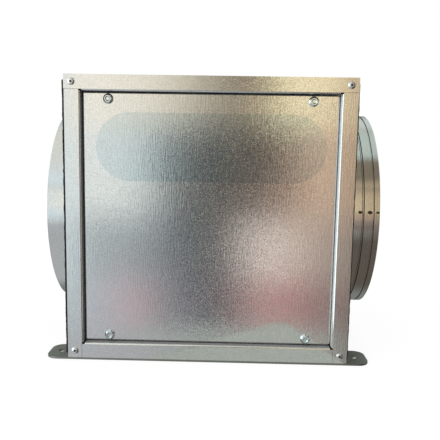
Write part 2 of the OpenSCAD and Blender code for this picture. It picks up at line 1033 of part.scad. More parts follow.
module rubber_buffers() {
    color([0.08, 0.08, 0.08])
        around_axis(leg_angles, buffer_at)
            translate([-x_side + sheet_t, 0, 0])
                facing_outlet()
                    difference() {
                        rotate_extrude()
                            polygon([
                                [0, buffer_fit],
                                [buffer_r, buffer_fit],
                                [buffer_r, 1.5],
                                [buffer_r - 1.2, buffer_h / 2],
                                [buffer_r, buffer_h - 1.5],
                                [buffer_r, buffer_h],
                                [0, buffer_h]
                            ]);
                        hole_z(support_bolt_r + hole_fit, 0, buffer_h);
                    }
}

module support_bolts() {
    head_t = 4;
    length = sheet_t + buffer_h + support_t + support_nut_h + 2;
    color([0.7, 0.72, 0.74])
        around_axis(leg_angles, buffer_at)
            translate([-x_side, 0, 0])
                facing_inlet() {
                    cylinder(r = 7, h = 1.2);
                    cylinder(r = 5.6, h = head_t, $fn = 6);
                    translate([0, 0, -length])
                        cylinder(r = support_bolt_r, h = length);
                }
}

module support_nuts() {
    color([0.7, 0.72, 0.74])
        around_axis(leg_angles, buffer_at)
            translate([x_foot + support_t, 0, 0])
                facing_outlet()
                    difference() {
                        union() {
                            cylinder(r = 6.5, h = 1.2);
                            cylinder(r = 5.5, h = support_nut_h, $fn = 6);
                        }
                        hole_z(support_bolt_r, 0, support_nut_h);
                    }
}

// ---- Motor, fixed side ----

module stator_housing() {
    bore_end = x_plate;
    color([0.6, 0.61, 0.62])
        difference() {
            turned([
                [bearing_r, x_tube],
                [tube_r, x_tube],
                [tube_r, x_flange - 4],
                [tube_r + 16, x_flange],
                [stator_flange_r, x_flange],
                [stator_flange_r, x_plate],
                [bearing_r, bore_end],
                [bearing_r, x_bearing_2 - washer_t],
                [shoulder_r, x_bearing_2 - washer_t],
                [shoulder_r, x_tube + bearing_w],
                [bearing_r, x_tube + bearing_w]
            ]);
            at_motor_screws()
                hole_z(2.5, -motor_screw_len, 0);
        }
}

module stator_core() {
    slots = 12;
    color([0.35, 0.35, 0.37])
        difference() {
            turned_ring(tube_r, core_r, x_core, x_core + core_len);
            around_axis(spread(slots), core_r - 3)
                translate([x_core - cut, -0.8, 0])
                    cube([core_len + 2 * cut, 1.6, 4]);
        }
}

module stator_windings() {
    r_in = tube_r + 4;
    r_out = core_r - 4;
    bulge = 5;
    color([0.72, 0.42, 0.2])
        for (end = [0, 1])
            translate([end * (2 * x_core + core_len), 0, 0])
                mirror([end, 0, 0])
                    turned([
                        [r_in, x_core],
                        [r_out, x_core],
                        [r_out, x_core - bulge + 2],
                        [r_out - 2, x_core - bulge],
                        [r_in + 2, x_core - bulge],
                        [r_in, x_core - bulge + 2]
                    ]);
}

module ball_bearings() {
    color([0.75, 0.76, 0.78])
        for (x = [x_tube, x_bearing_2])
            turned([
                [shaft_r + shaft_clearance, x],
                [bearing_r - 0.5, x],
                [bearing_r, x + 0.5],
                [bearing_r, x + bearing_w - 0.5],
                [bearing_r - 0.5, x + bearing_w],
                [shaft_r + shaft_clearance, x + bearing_w]
            ]);
}

module wave_washer() {
    color([0.5, 0.5, 0.52])
        turned_ring(bearing_r - 3, bearing_r - 0.2, x_bearing_2 - washer_t, x_bearing_2);
}

// Screws through the support's plate into the stator's flange, heads towards the outlet
module at_motor_screws() {
    around_axis(spread(4), motor_screw_pcr)
        translate([x_cover, 0, 0])
            facing_outlet()
                children();
}

module motor_screws() {
    color([0.7, 0.72, 0.74])
        at_motor_screws() {
            translate([0, 0, -motor_screw_len])
                cylinder(r = 2.5, h = motor_screw_len);
            difference() {
                cylinder(r = 4.2, h = 4.5);
                translate([0, 0, 2])
                    cylinder(r = 2.3, h = 4, $fn = 6);
            }
        }
}

// Die-cast cover of the motor's electronics, with cooling fins
module electronics_cover() {
    fin_depth = 8;
    fin_gap = 6;
    x_end = x_cover + cover_len;
    color([0.3, 0.31, 0.33])
        difference() {
            turned([
                [0, x_cover],
                [cover_r, x_cover],
                [cover_r, x_end - 5],
                [cover_r - 5, x_end],
                [0, x_end]
            ]);
            for (i = [-3 : 3])
                translate([x_end - fin_depth, -cover_r, z_axis + i * 2 * fin_gap - fin_gap / 2])
                    cube([fin_depth + cut, 2 * cover_r, fin_gap]);
            translate([x_lead, cover_r - 6, z_axis])
                facing_rear()
                    cylinder(r = lead_port_r - 2, h = 8);
        }
}

module lead_gland() {
    color([0.1, 0.1, 0.1])
        translate([x_lead, cover_r - 6, z_axis])
            facing_rear()
                difference() {
                    union() {
                        cylinder(r = lead_port_r - 2, h = 6);
                        translate([0, 0, 6])
                            cylinder(r1 = lead_port_r, r2 = lead_port_r - 2, h = lead_port_len - 6);
                    }
                    translate([0, 0, -cut])
                        cylinder(r = lead_r, h = lead_port_len + 2 * cut);
                }
}

// Lead: out of the motor to the rear, up, and to the rear again into the terminal box
module motor_lead() {
    y_start = cover_r - 6;
    y_end = y_rear + box_t + 10;
    module bend(quarter) {
        rotate([0, -90, 0])
            rotate([0, 0, quarter])
                rotate_extrude(angle = 90)
                    translate([lead_bend, 0])
                        circle(lead_r, $fn = 32);
    }
    color([0.12, 0.12, 0.12])
        translate([x_lead, 0, 0]) {
            translate([0, y_start, z_axis])
                facing_rear()
                    cylinder(r = lead_r, h = y_lead_turn - y_start, $fn = 32);
            translate([0, y_lead_turn, z_axis + lead_bend])
                bend(90);
            translate([0, y_lead_up, z_axis + lead_bend])
                cylinder(r = lead_r, h = box_rise - 2 * lead_bend, $fn = 32);
            translate([0, y_lead_up + lead_bend, z_lead_out - lead_bend])
                bend(-90);
            translate([0, y_lead_up + lead_bend, z_lead_out])
                facing_rear()
                    cylinder(r = lead_r, h = y_end - y_lead_up - lead_bend, $fn = 32);
        }
}

module wall_grommet() {
    color([0.08, 0.08, 0.08])
        translate([x_lead, y_casing_rear, z_lead_out])
            facing_rear()
                difference() {
                    union() {
                        translate([0, 0, -grommet_lip])
                            cylinder(r = grommet_r + 2, h = grommet_lip);
                        cylinder(r = grommet_r, h = sheet_t + box_t);
                    }
                    translate([0, 0, -grommet_lip - cut])
                        cylinder(r = lead_r, h = grommet_lip + sheet_t + box_t + 2 * cut);
                }
}

// ---- Terminal box on the rear panel ----

module at_box_screws() {
    for (sx = [-1, 1])
        translate([x_lead + sx * box_w / 4, y_rear, z_lead_out])
            facing_rear()
                children();
}

module at_lid_screws() {
    for (sx = [-1, 1], sz = [-1, 1])
        translate([x_lead + sx * (box_w / 2 - lid_screw_in), y_rear + box_d,
                   z_lead_out + sz * (box_h / 2 - lid_screw_in)])
            facing_rear()
                children();
}

// Upright block with rounded vertical edges, drawn from the rear panel outwards
module rounded_box(w, h, d, r) {
    facing_rear() {
        translate([-w / 2 + r, -h / 2, 0])
            cube([w - 2 * r, h, d]);
        translate([-w / 2, -h / 2 + r, 0])
            cube([w, h - 2 * r, d]);
        for (sx = [-1, 1], sy = [-1, 1])
            translate([sx * (w / 2 - r), sy * (h / 2 - r), 0])
                cylinder(r = r, h = d);
    }
}

module terminal_box() {
    depth = box_d - lid_t;
    post_r = 5;
    color([0.32, 0.33, 0.34])
        difference() {
            union() {
                translate([x_lead, y_rear, z_lead_out])
                    difference() {
                        rounded_box(box_w, box_h, depth, box_corner);
                        translate([0, box_t, 0])
                            rounded_box(box_w - 2 * box_t, box_h - 2 * box_t, depth,
                                        box_corner - box_t);
                    }
                at_lid_screws()
                    translate([0, 0, -box_d])
                        cylinder(r = post_r, h = depth);
            }
            at_lid_screws()
                hole_z(1.6, -lid_t - 12, 0);
            at_box_screws()
                hole_z(2 + hole_fit, 0, box_t);
            translate([x_lead, y_rear, z_lead_out])
                facing_rear()
                    hole_z(grommet_r, 0, box_t);
            translate([gland_x, gland_y, box_z0])
                hole_z(gland_thread_r, 0, box_t);
        }
}

module terminal_box_screws() {
    color([0.7, 0.72, 0.74])
        at_box_screws() {
            translate([0, 0, -5])
                cylinder(r = 2, h = 5 + box_t);
            translate([0, 0, box_t])
                cylinder(r1 = 4, r2 = 3, h = 2.4);
        }
}

module terminal_block() {
    ways = 5;
    pitch = 10;
    color([0.86, 0.86, 0.82])
        translate([x_lead - ways * pitch / 2, y_rear + box_t, z_lead_out - box_h / 2 + 16])
            difference() {
                cube([ways * pitch, 18, 14]);
                for (i = [0 : ways - 1])
                    translate([(i + 0.5) * pitch, 18 - 4, 7])
                        facing_rear()
                            cylinder(r = 3, h = 8);
            }
}

module terminal_box_lid() {
    color([0.36, 0.37, 0.38])
        difference() {
            translate([x_lead, y_rear + box_d - lid_t, z_lead_out])
                rounded_box(box_w, box_h, lid_t, box_corner);
            at_lid_screws()
                hole_z(2, -lid_t, 0);
        }
}

module terminal_lid_screws() {
    color([0.7, 0.72, 0.74])
        at_lid_screws() {
            translate([0, 0, -lid_t - lid_screw_bite])
                cylinder(r = 1.5, h = lid_t + lid_screw_bite);
            difference() {
                cylinder(r1 = lid_head_r, r2 = lid_head_r - 1, h = lid_head_h);
                translate([-3, -0.4, 1.2])
                    cube([6, 0.8, 2]);
            }
        }
}

// Cable gland in the underside of the terminal box, mouth downwards
module cable_gland() {
    neck = 6;
    nut_h = 14;
    inside = 6;
    color([0.16, 0.17, 0.18])
        translate([gland_x, gland_y, box_z0])
            difference() {
                union() {
                    cylinder(r = gland_thread_r, h = box_t + inside);
                    translate([0, 0, box_t])
                        cylinder(r = gland_hex_r - 1, h = 4, $fn = 6);
                    translate([0, 0, -neck])
                        cylinder(r = gland_hex_r, h = neck, $fn = 6);
                    translate([0, 0, -neck - nut_h])
                        cylinder(r1 = 8.5, r2 = 11, h = nut_h);
                }
                hole_z(gland_bore_r, -neck - nut_h, box_t + inside);
            }
}

// ---- Rotor and impeller ----

module rotor_cup() {
    r = rotor_nose_round;
    nose_arc = [for (a = [90 : -15 : 0])
        [rotor_r - r + r * cos(a), x_nose + r - r * sin(a)]];
    color([0.2, 0.2, 0.22])
        difference() {
            turned(concat(
                [[shaft_r, x_nose + rotor_nose_t + rotor_boss_len], [shaft_r, x_nose]],
                nose_arc,
                [
                    [rotor_r, x_back - rotor_flange_t],
                    [rotor_r + rotor_flange_w, x_back - rotor_flange_t],
                    [rotor_r + rotor_flange_w, x_back],
                    [rotor_r - rotor_t, x_back],
                    [rotor_r - rotor_t, x_nose + r],
                    [rotor_r - r, x_nose + rotor_nose_t],
                    [rotor_boss_r, x_nose + rotor_nose_t],
                    [rotor_boss_r, x_nose + rotor_nose_t + rotor_boss_len]
                ]
            ));
            at_rotor_screws()
                hole_z(2 + hole_fit, -rotor_flange_t, 0);
        }
}

// Screws through the rotor's flange into the back plate, heads towards the inlet
module at_rotor_screws() {
    around_axis(spread(rotor_screw_count), rotor_screw_r)
        translate([x_back - rotor_flange_t, 0, 0])
            facing_inlet()
                children();
}

module rotor_magnets() {
    color([0.15, 0.15, 0.16])
        turned_ring(magnet_r, rotor_r - rotor_t, x_core - 2, x_core - 2 + magnet_len);
}

module rotor_shaft() {
    x_end = x_circlip + circlip_t + 2;
    groove_r = shaft_r - 0.6;
    color([0.8, 0.81, 0.83])
        turned([
            [0, x_nose + 0.5],
            [shaft_r, x_nose + 0.5],
            [shaft_r, x_circlip - groove_fit],
            [groove_r, x_circlip - groove_fit],
            [groove_r, x_circlip + circlip_t + groove_fit],
            [shaft_r, x_circlip + circlip_t + groove_fit],
            [shaft_r, x_end - 0.5],
            [shaft_r - 0.5, x_end],
            [0, x_end]
        ]);
}

module shaft_circlip() {
    color([0.3, 0.3, 0.32])
        difference() {
            turned_ring(shaft_r - 0.6, shaft_r + 2.5, x_circlip, x_circlip + circlip_t);
            translate([x_circlip - cut, -2, z_axis + shaft_r - 2])
                cube([circlip_t + 2 * cut, 4, 6]);
        }
}

module impeller_back_plate() {
    color([0.62, 0.64, 0.66])
        difference() {
            turned_ring(rotor_r - rotor_t, impeller_r, x_back, x_back + impeller_t);
            at_rotor_screws()
                hole_z(2 + hole_fit, -rotor_flange_t - impeller_t, -rotor_flange_t);
        }
}

// Air side of the shroud, moved by out towards the inlet
function shroud_curve(out) = [for (i = [0 : curve_steps])
    let (a = shroud_end * i / curve_steps)
    [eye_r + shroud_sweep - (shroud_sweep - out) * cos(a), x_shroud + (shroud_depth - out) * sin(a)]];

module impeller_shroud() {
    color([0.62, 0.64, 0.66])
        turned(concat(
            [[eye_r + impeller_t, x_collar], [eye_r, x_collar]],
            shroud_curve(0),
            flip_points(shroud_curve(impeller_t))
        ));
}

// A blade is a strip of a circle whose radius and centre follow from its two angles
blade_arc_r = (impeller_r * impeller_r - blade_root_r * blade_root_r)
    / (2 * (impeller_r * cos(blade_angle_out) - blade_root_r * cos(blade_angle_in)));
blade_arc_at = sqrt(blade_arc_r * blade_arc_r + blade_root_r * blade_root_r
    - 2 * blade_arc_r * blade_root_r * cos(blade_angle_in));

module blade_strip() {
    difference() {
        translate([0, blade_arc_at])
            difference() {
                circle(blade_arc_r + blade_t / 2);
                circle(blade_arc_r - blade_t / 2);
            }
        translate([-2 * impeller_r, -2 * impeller_r])
            square([2 * impeller_r, 6 * impeller_r]);
        translate([-2 * impeller_r, impeller_r])
            square([4 * impeller_r, 4 * impeller_r]);
    }
}

module impeller_blades() {
    color([0.62, 0.64, 0.66])
        intersection() {
            translate([x_collar, 0, z_axis])
                rotate([0, 90, 0])
                    for (a = spread(blade_count))
                        rotate(a)
                            linear_extrude(x_back - x_collar + cut)
                                blade_strip();
            turned(concat(
                [[blade_root_r, x_back], [impeller_r, x_back]],
                flip_points(shroud_curve(0))
            ));
        }
}

module impeller_screws() {
    color([0.7, 0.72, 0.74])
        at_rotor_screws() {
            translate([0, 0, -rotor_flange_t - impeller_t - 1])
                cylinder(r = 2, h = rotor_flange_t + impeller_t + 1);
            difference() {
                cylinder(r1 = 3.8, r2 = 3, h = 2.2);
                translate([0, 0, 1])
                    cylinder(r = 1.4, h = 2, $fn = 6);
            }
        }
}

top_panel();
bottom_panel();
inlet_side_panel();
outlet_side_panel();
rear_panel();
top_rail();
bottom_rail();
left_stile();
right_stile();
frame_seal();
corner_rivets();
side_rivets();
rear_rivets();
inlet_spigot();
outlet_spigot();
spigot_rivets();
inlet_cone();
front_mounting_rail();
rear_mounting_rail();
rail_screws();
rail_nuts();
panel_seal();
rivet_nuts();
motor_support();
rubber_buffers();
support_bolts();
support_nuts();
stator_housing();
stator_core();
stator_windings();
ball_bearings();
wave_washer();
motor_screws();
electronics_cover();
lead_gland();
motor_lead();
wall_grommet();
terminal_box();
terminal_box_screws();
terminal_block();
terminal_box_lid();
terminal_lid_screws();
cable_gland();
rotor_cup();
rotor_magnets();
rotor_shaft();
shaft_circlip();
impeller_back_plate();
impeller_blades();
impeller_shroud();
impeller_screws();
access_panel();
panel_bolts();
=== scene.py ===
"""A square duct fan in a galvanised cabinet, on a pale floor in soft studio light."""

import math

import bmesh
import bpy
from mathutils import Matrix, Vector


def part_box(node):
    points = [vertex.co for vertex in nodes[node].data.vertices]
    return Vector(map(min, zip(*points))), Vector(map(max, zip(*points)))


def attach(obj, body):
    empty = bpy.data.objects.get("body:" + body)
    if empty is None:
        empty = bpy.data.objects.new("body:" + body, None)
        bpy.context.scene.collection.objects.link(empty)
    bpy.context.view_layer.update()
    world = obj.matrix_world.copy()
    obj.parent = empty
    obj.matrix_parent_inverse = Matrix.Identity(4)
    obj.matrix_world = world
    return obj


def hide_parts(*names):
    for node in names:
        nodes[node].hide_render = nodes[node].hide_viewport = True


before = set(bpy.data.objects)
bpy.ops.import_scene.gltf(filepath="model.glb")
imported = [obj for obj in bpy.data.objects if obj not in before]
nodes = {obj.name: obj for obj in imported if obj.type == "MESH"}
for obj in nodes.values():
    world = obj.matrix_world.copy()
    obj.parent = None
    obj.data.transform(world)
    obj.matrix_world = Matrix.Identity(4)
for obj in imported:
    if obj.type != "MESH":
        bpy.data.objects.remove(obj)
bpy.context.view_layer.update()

# ---- Camera ----
# It stands a metre in front of the access panel, a little above the fan's middle, and looks
# slightly down.
camera = bpy.data.objects.new("camera", bpy.data.cameras.new("camera"))
bpy.context.collection.objects.link(camera)
camera.location = (0.0272, -1.0371, 0.3197)
camera.rotation_euler = [math.radians(a) for a in (82.2411, -0.9254, 1.3522)]
camera.data.sensor_width = 36
camera.data.lens = 49.1
camera.data.shift_x = 0.0102
camera.data.shift_y = -0.0005
camera.data.clip_start = 0.05
bpy.context.scene.camera = camera
bpy.context.scene.view_settings.view_transform = "Standard"

# ---- Floor and room ----
# A white floor runs to a white room. Bare metal shows a painted reflection in front of the fan,
# a pale patch of floor that glows only in reflections, and a workshop round it: pale walls on the
# inlet side, wood on the outlet side and a dark doorway straight in front.


def put(tree, kind, **values):
    """Adds a shader node and sets its properties and its inputs by name."""
    made = tree.nodes.new("ShaderNode" + kind)
    for name, value in values.items():
        if hasattr(made, name):
            setattr(made, name, value)
        else:
            made.inputs[name.replace("_", " ")].default_value = value
    return made


def join(tree, value, socket):
    """Feeds a socket from another socket, a plain number or a plain colour."""
    if isinstance(value, bpy.types.NodeSocket):
        tree.links.new(value, socket)
    elif isinstance(value, tuple):
        socket.default_value = (*value, 1)
    else:
        socket.default_value = value


def number(tree, operation, *values):
    """Adds a Math node on sockets or plain numbers and returns its result."""
    made = put(tree, "Math", operation=operation)
    for place, value in enumerate(values):
        join(tree, value, made.inputs[place])
    return made.outputs[0]


def spread(tree, value, middle, width):
    """Turns a pattern of 0 to 1 into a number that varies by a width about a middle."""
    return number(tree, "MULTIPLY_ADD", value, width, middle - width / 2)


def smooth_step(tree, value, low, high):
    """Rises softly from 0 to 1 between two values."""
    made = put(tree, "MapRange", interpolation_type="SMOOTHSTEP", From_Min=low, From_Max=high)
    join(tree, value, made.inputs["Value"])
    return made.outputs["Result"]


def ramp(tree, value, *stops):
    """Colours a value by stops of place and colour."""
    made = put(tree, "ValToRGB")
    band = made.color_ramp
    band.elements.remove(band.elements[-1])
    for count, (place, colour) in enumerate(stops):
        stop = band.elements.new(place) if count else band.elements[0]
        stop.position = place
        stop.color = (*colour, 1)
    join(tree, value, made.inputs["Fac"])
    return made.outputs["Color"]


def mixed(tree, factor, first, second, blend="MIX"):
    """Mixes two colours, each a socket or a plain colour, by a factor."""
    made = put(tree, "Mix", data_type="RGBA", blend_type=blend)
    sockets = {s.identifier: s for s in (*made.inputs, *made.outputs)}
    join(tree, factor, sockets["Factor_Float"])
    join(tree, first, sockets["A_Color"])
    join(tree, second, sockets["B_Color"])
    return sockets["Result_Color"]


def empty_material(name):
    """A material with an empty node tree."""
    made = bpy.data.materials.new(name)
    made.use_nodes = True
    made.node_tree.nodes.clear()
    return made, made.node_tree


def show(tree, shader):
    """Makes a shader the surface of its material."""
    join(tree, shader.outputs[0], put(tree, "OutputMaterial").inputs["Surface"])


bpy.ops.object.select_all(action="DESELECT")
bpy.ops.mesh.primitive_plane_add(size=24, location=(0, 0, -0.0005))
floor = bpy.context.object
floor.name = "floor"
bpy.ops.object.transform_apply(location=True, rotation=True, scale=True)
# A pale patch of floor in front of the fan glows only for glossy rays and is clear to them elsewhere: a
# painted reflection.
glow_left = 0.11
glow_right = 0.138
glow_start = (-0.205, -0.215)
glow_end = (-0.389, -0.385)
paint, tree = empty_material("floor_paint")
rays = put(tree, "LightPath")
matt = put(tree, "BsdfDiffuse", Color=(0.86, 0.86, 0.86, 1))
white = put(tree, "Emission", Color=(1, 1, 1, 1), Strength=1.06)
lifted = put(tree, "MixShader")
join(tree, number(tree, "MULTIPLY", rays.outputs["Is Camera Ray"], 0.84), lifted.inputs[0])
join(tree, matt.outputs[0], lifted.inputs[1])
join(tree, white.outputs[0], lifted.inputs[2])
ground = put(tree, "SeparateXYZ")
join(tree, put(tree, "TexCoord").outputs["Object"], ground.inputs[0])
left_run = number(tree, "MAXIMUM", number(tree, "SUBTRACT", glow_left, ground.outputs[0]), 0.0)
right_run = number(tree, "MAXIMUM", number(tree, "SUBTRACT", ground.outputs[0], glow_right), 0.0)
reach = number(tree, "ADD", number(tree, "MULTIPLY", left_run, -0.84),
               number(tree, "MULTIPLY_ADD", right_run, -2.8, ground.outputs[1]))
in_front = smooth_step(tree, ground.outputs[1], *glow_start)
on_glow = number(tree, "MULTIPLY", in_front, smooth_step(tree, reach, *glow_end))
reflection_glow = put(tree, "Emission", Color=(0.44, 0.47, 0.43, 1), Strength=1.0)
painted_reflection = put(tree, "MixShader")
join(tree, on_glow, painted_reflection.inputs[0])
join(tree, put(tree, "BsdfTransparent").outputs[0], painted_reflection.inputs[1])
join(tree, reflection_glow.outputs[0], painted_reflection.inputs[2])
seen = put(tree, "MixShader")
join(tree, rays.outputs["Is Glossy Ray"], seen.inputs[0])
join(tree, lifted.outputs[0], seen.inputs[1])
join(tree, painted_reflection.outputs[0], seen.inputs[2])
show(tree, seen)
floor.data.materials.append(paint)

world = bpy.data.worlds.new("room")
bpy.context.scene.world = world
world.use_nodes = True
tree = world.node_tree
tree.nodes.clear()
compass = put(tree, "SeparateXYZ")
join(tree, put(tree, "TexCoord").outputs["Generated"], compass.inputs[0])
east, north, up = compass.outputs
height = spread(tree, up, 0.5, 1.0)
pale_wall = ramp(tree, height,
    (0.20, (0.48, 0.50, 0.51)), (0.40, (0.64, 0.67, 0.65)), (0.50, (0.78, 0.90, 0.96)),
    (0.64, (0.80, 0.86, 0.88)), (1.0, (0.82, 0.82, 0.74)))
wood_wall = ramp(tree, height,
    (0.30, (0.12, 0.10, 0.08)), (0.42, (0.20, 0.17, 0.14)), (0.49, (0.28, 0.22, 0.16)),
    (0.53, (0.50, 0.39, 0.25)), (0.58, (0.40, 0.31, 0.20)), (0.66, (0.21, 0.17, 0.12)),
    (0.87, (0.22, 0.18, 0.13)), (0.93, (0.52, 0.60, 0.55)), (1.0, (0.58, 0.66, 0.61)))
dark_wall = ramp(tree, height,
    (0.25, (0.10, 0.10, 0.10)), (0.45, (0.22, 0.22, 0.21)), (0.57, (0.36, 0.36, 0.35)),
    (0.66, (0.50, 0.53, 0.51)), (1.0, (0.62, 0.66, 0.64)))
walls = mixed(tree, smooth_step(tree, east, -0.12, 0.20), pale_wall, wood_wall)
walls = mixed(tree, smooth_step(tree, east, 0.32, 0.45), walls, dark_wall)
walls = mixed(tree, smooth_step(tree, east, 0.90, 0.95), walls, (0.50, 0.52, 0.50))
rear_wall = ramp(tree, height,
    (0.25, (0.22, 0.23, 0.21)), (0.34, (0.40, 0.43, 0.40)), (0.46, (0.50, 0.54, 0.51)),
    (0.55, (0.64, 0.70, 0.66)))
walls = mixed(tree, smooth_step(tree, north, 0.1, 0.6), walls, rear_wall)
window = smooth_step(tree, east, -0.40, -0.48)
for direction, shut, clear in ((east, -0.97, -0.92), (north, 0.0, -0.1), (up, 0.50, 0.42),
                               (up, -0.36, -0.30)):
    window = number(tree, "MULTIPLY", window, smooth_step(tree, direction, shut, clear))
walls = mixed(tree, window, walls, (1.7, 1.95, 2.0))

# What stands in front of the fan, from the floor up: how high each row starts and ends to show
# over the last, then its colours from left to right.
front_rows = (
    (None, (0.13, (0.50, 0.52, 0.55)), (0.24, (0.48, 0.49, 0.51)), (0.46, (0.42, 0.47, 0.44)),
     (0.64, (0.52, 0.54, 0.50)), (0.74, (0.34, 0.36, 0.33)), (0.80, (0.17, 0.14, 0.12))),
    ((-0.33, -0.32), (0.13, (0.68, 0.72, 0.70)), (0.175, (0.53, 0.64, 0.70)), (0.20, (0.48, 0.52, 0.58)),
     (0.23, (0.50, 0.53, 0.59)), (0.27, (0.66, 0.50, 0.54)), (0.32, (0.54, 0.42, 0.45)),
     (0.38, (0.24, 0.25, 0.27)), (0.45, (0.10, 0.10, 0.12)), (0.49, (0.11, 0.10, 0.11)),
     (0.54, (0.36, 0.22, 0.22)), (0.60, (0.62, 0.33, 0.31)), (0.66, (0.44, 0.20, 0.20)),
     (0.70, (0.27, 0.16, 0.16)), (0.73, (0.36, 0.30, 0.29)), (0.75, (0.26, 0.19, 0.17)),
     (0.80, (0.17, 0.14, 0.12))),
    ((-0.27, -0.21), (0.13, (0.78, 0.90, 0.96)), (0.175, (0.70, 0.76, 0.78)), (0.20, (0.38, 0.42, 0.45)),
     (0.26, (0.42, 0.46, 0.48)), (0.33, (0.33, 0.36, 0.38)), (0.39, (0.15, 0.17, 0.19)),
     (0.45, (0.09, 0.10, 0.10)), (0.49, (0.12, 0.12, 0.12)), (0.53, (0.52, 0.46, 0.43)),
     (0.58, (0.95, 0.82, 0.76)), (0.64, (0.78, 0.62, 0.53)), (0.69, (0.48, 0.38, 0.32)),
     (0.73, (0.46, 0.38, 0.33)), (0.80, (0.20, 0.16, 0.13))),
    ((-0.165, -0.10), (0.13, (0.80, 0.93, 0.98)), (0.175, (0.86, 0.88, 0.86)), (0.26, (0.98, 1.02, 0.98)),
     (0.32, (0.76, 0.83, 0.83)), (0.37, (0.27, 0.30, 0.30)), (0.41, (0.12, 0.13, 0.13)),
     (0.49, (0.10, 0.095, 0.085)), (0.58, (0.15, 0.11, 0.09)), (0.63, (0.36, 0.24, 0.18)),
     (0.67, (0.74, 0.52, 0.38)), (0.72, (0.80, 0.58, 0.42)), (0.75, (0.50, 0.35, 0.25)),
     (0.80, (0.36, 0.27, 0.19))),
    ((-0.01, 0.04), (0.13, (0.82, 0.90, 0.92)), (0.175, (1.10, 1.02, 0.90)), (0.33, (0.98, 0.92, 0.78)),
     (0.42, (0.66, 0.60, 0.48)), (0.47, (0.38, 0.33, 0.26)), (0.55, (0.26, 0.20, 0.14)),
     (0.59, (0.74, 0.63, 0.40)), (0.63, (1.15, 1.02, 0.66)), (0.71, (1.06, 0.88, 0.57)),
     (0.76, (0.60, 0.45, 0.30)), (0.80, (0.50, 0.39, 0.25))))
ahead = number(tree, "MAXIMUM", number(tree, "MULTIPLY", north, -1.0), 0.05)
across = number(tree, "DIVIDE", east, ahead)
place = number(tree, "MULTIPLY_ADD", across, 1.25, 0.5)
rise = number(tree, "DIVIDE", up, ahead)
front = None
for edge, *stops in front_rows:
    row = ramp(tree, place, *stops)
    if edge:
        row = mixed(tree, smooth_step(tree, rise, *edge), front, row)
    front = row
room = mixed(tree, smooth_step(tree, north, -0.80, -0.92), walls, front)
rays = put(tree, "LightPath")
lit = mixed(tree, rays.outputs["Is Glossy Ray"], (0.80, 0.80, 0.80), room)
shown = mixed(tree, rays.outputs["Is Camera Ray"], lit, (1.0, 1.0, 1.0))
air = put(tree, "Background", Strength=1.0)
join(tree, shown, air.inputs["Color"])
join(tree, air.outputs[0], put(tree, "OutputWorld").inputs["Surface"])


def lamp(name, place, size, power, tint=(1, 1, 1)):
    """A square soft lamp that faces the fan's middle and leaves no patch on bare metal."""
    made = bpy.data.objects.new(name, bpy.data.lights.new(name, "AREA"))
    bpy.context.collection.objects.link(made)
    made.location = place
    made.rotation_euler = (Vector((0, 0, 0.2)) - Vector(place)).to_track_quat("-Z", "Y").to_euler()
    made.data.size = size
    made.data.energy = power
    made.data.color = tint
    made.visible_glossy = False
    made.visible_camera = False


lamp("soft_lamp_left", (-1.9, -1.6, 2.1), 1.4, 18)
lamp("soft_lamp_right", (2.1, -1.2, 1.7), 1.2, 8, (1.0, 0.96, 0.9))
lamp("soft_lamp_back", (0.4, 2.2, 2.0), 1.4, 14)

# ---- Casing sheets ----
# The top, bottom, two sides and rear are bent from 1.2 mm galvanised steel. The zinc has a fine
# grain and faint rolling streaks along the sheet, and handling has dulled it in patches.


def pattern(tree, kind, place, **values):
    """Adds a texture laid out by a place on the piece."""
    made = put(tree, kind, **values)
    join(tree, place, made.inputs["Vector"])
    return made


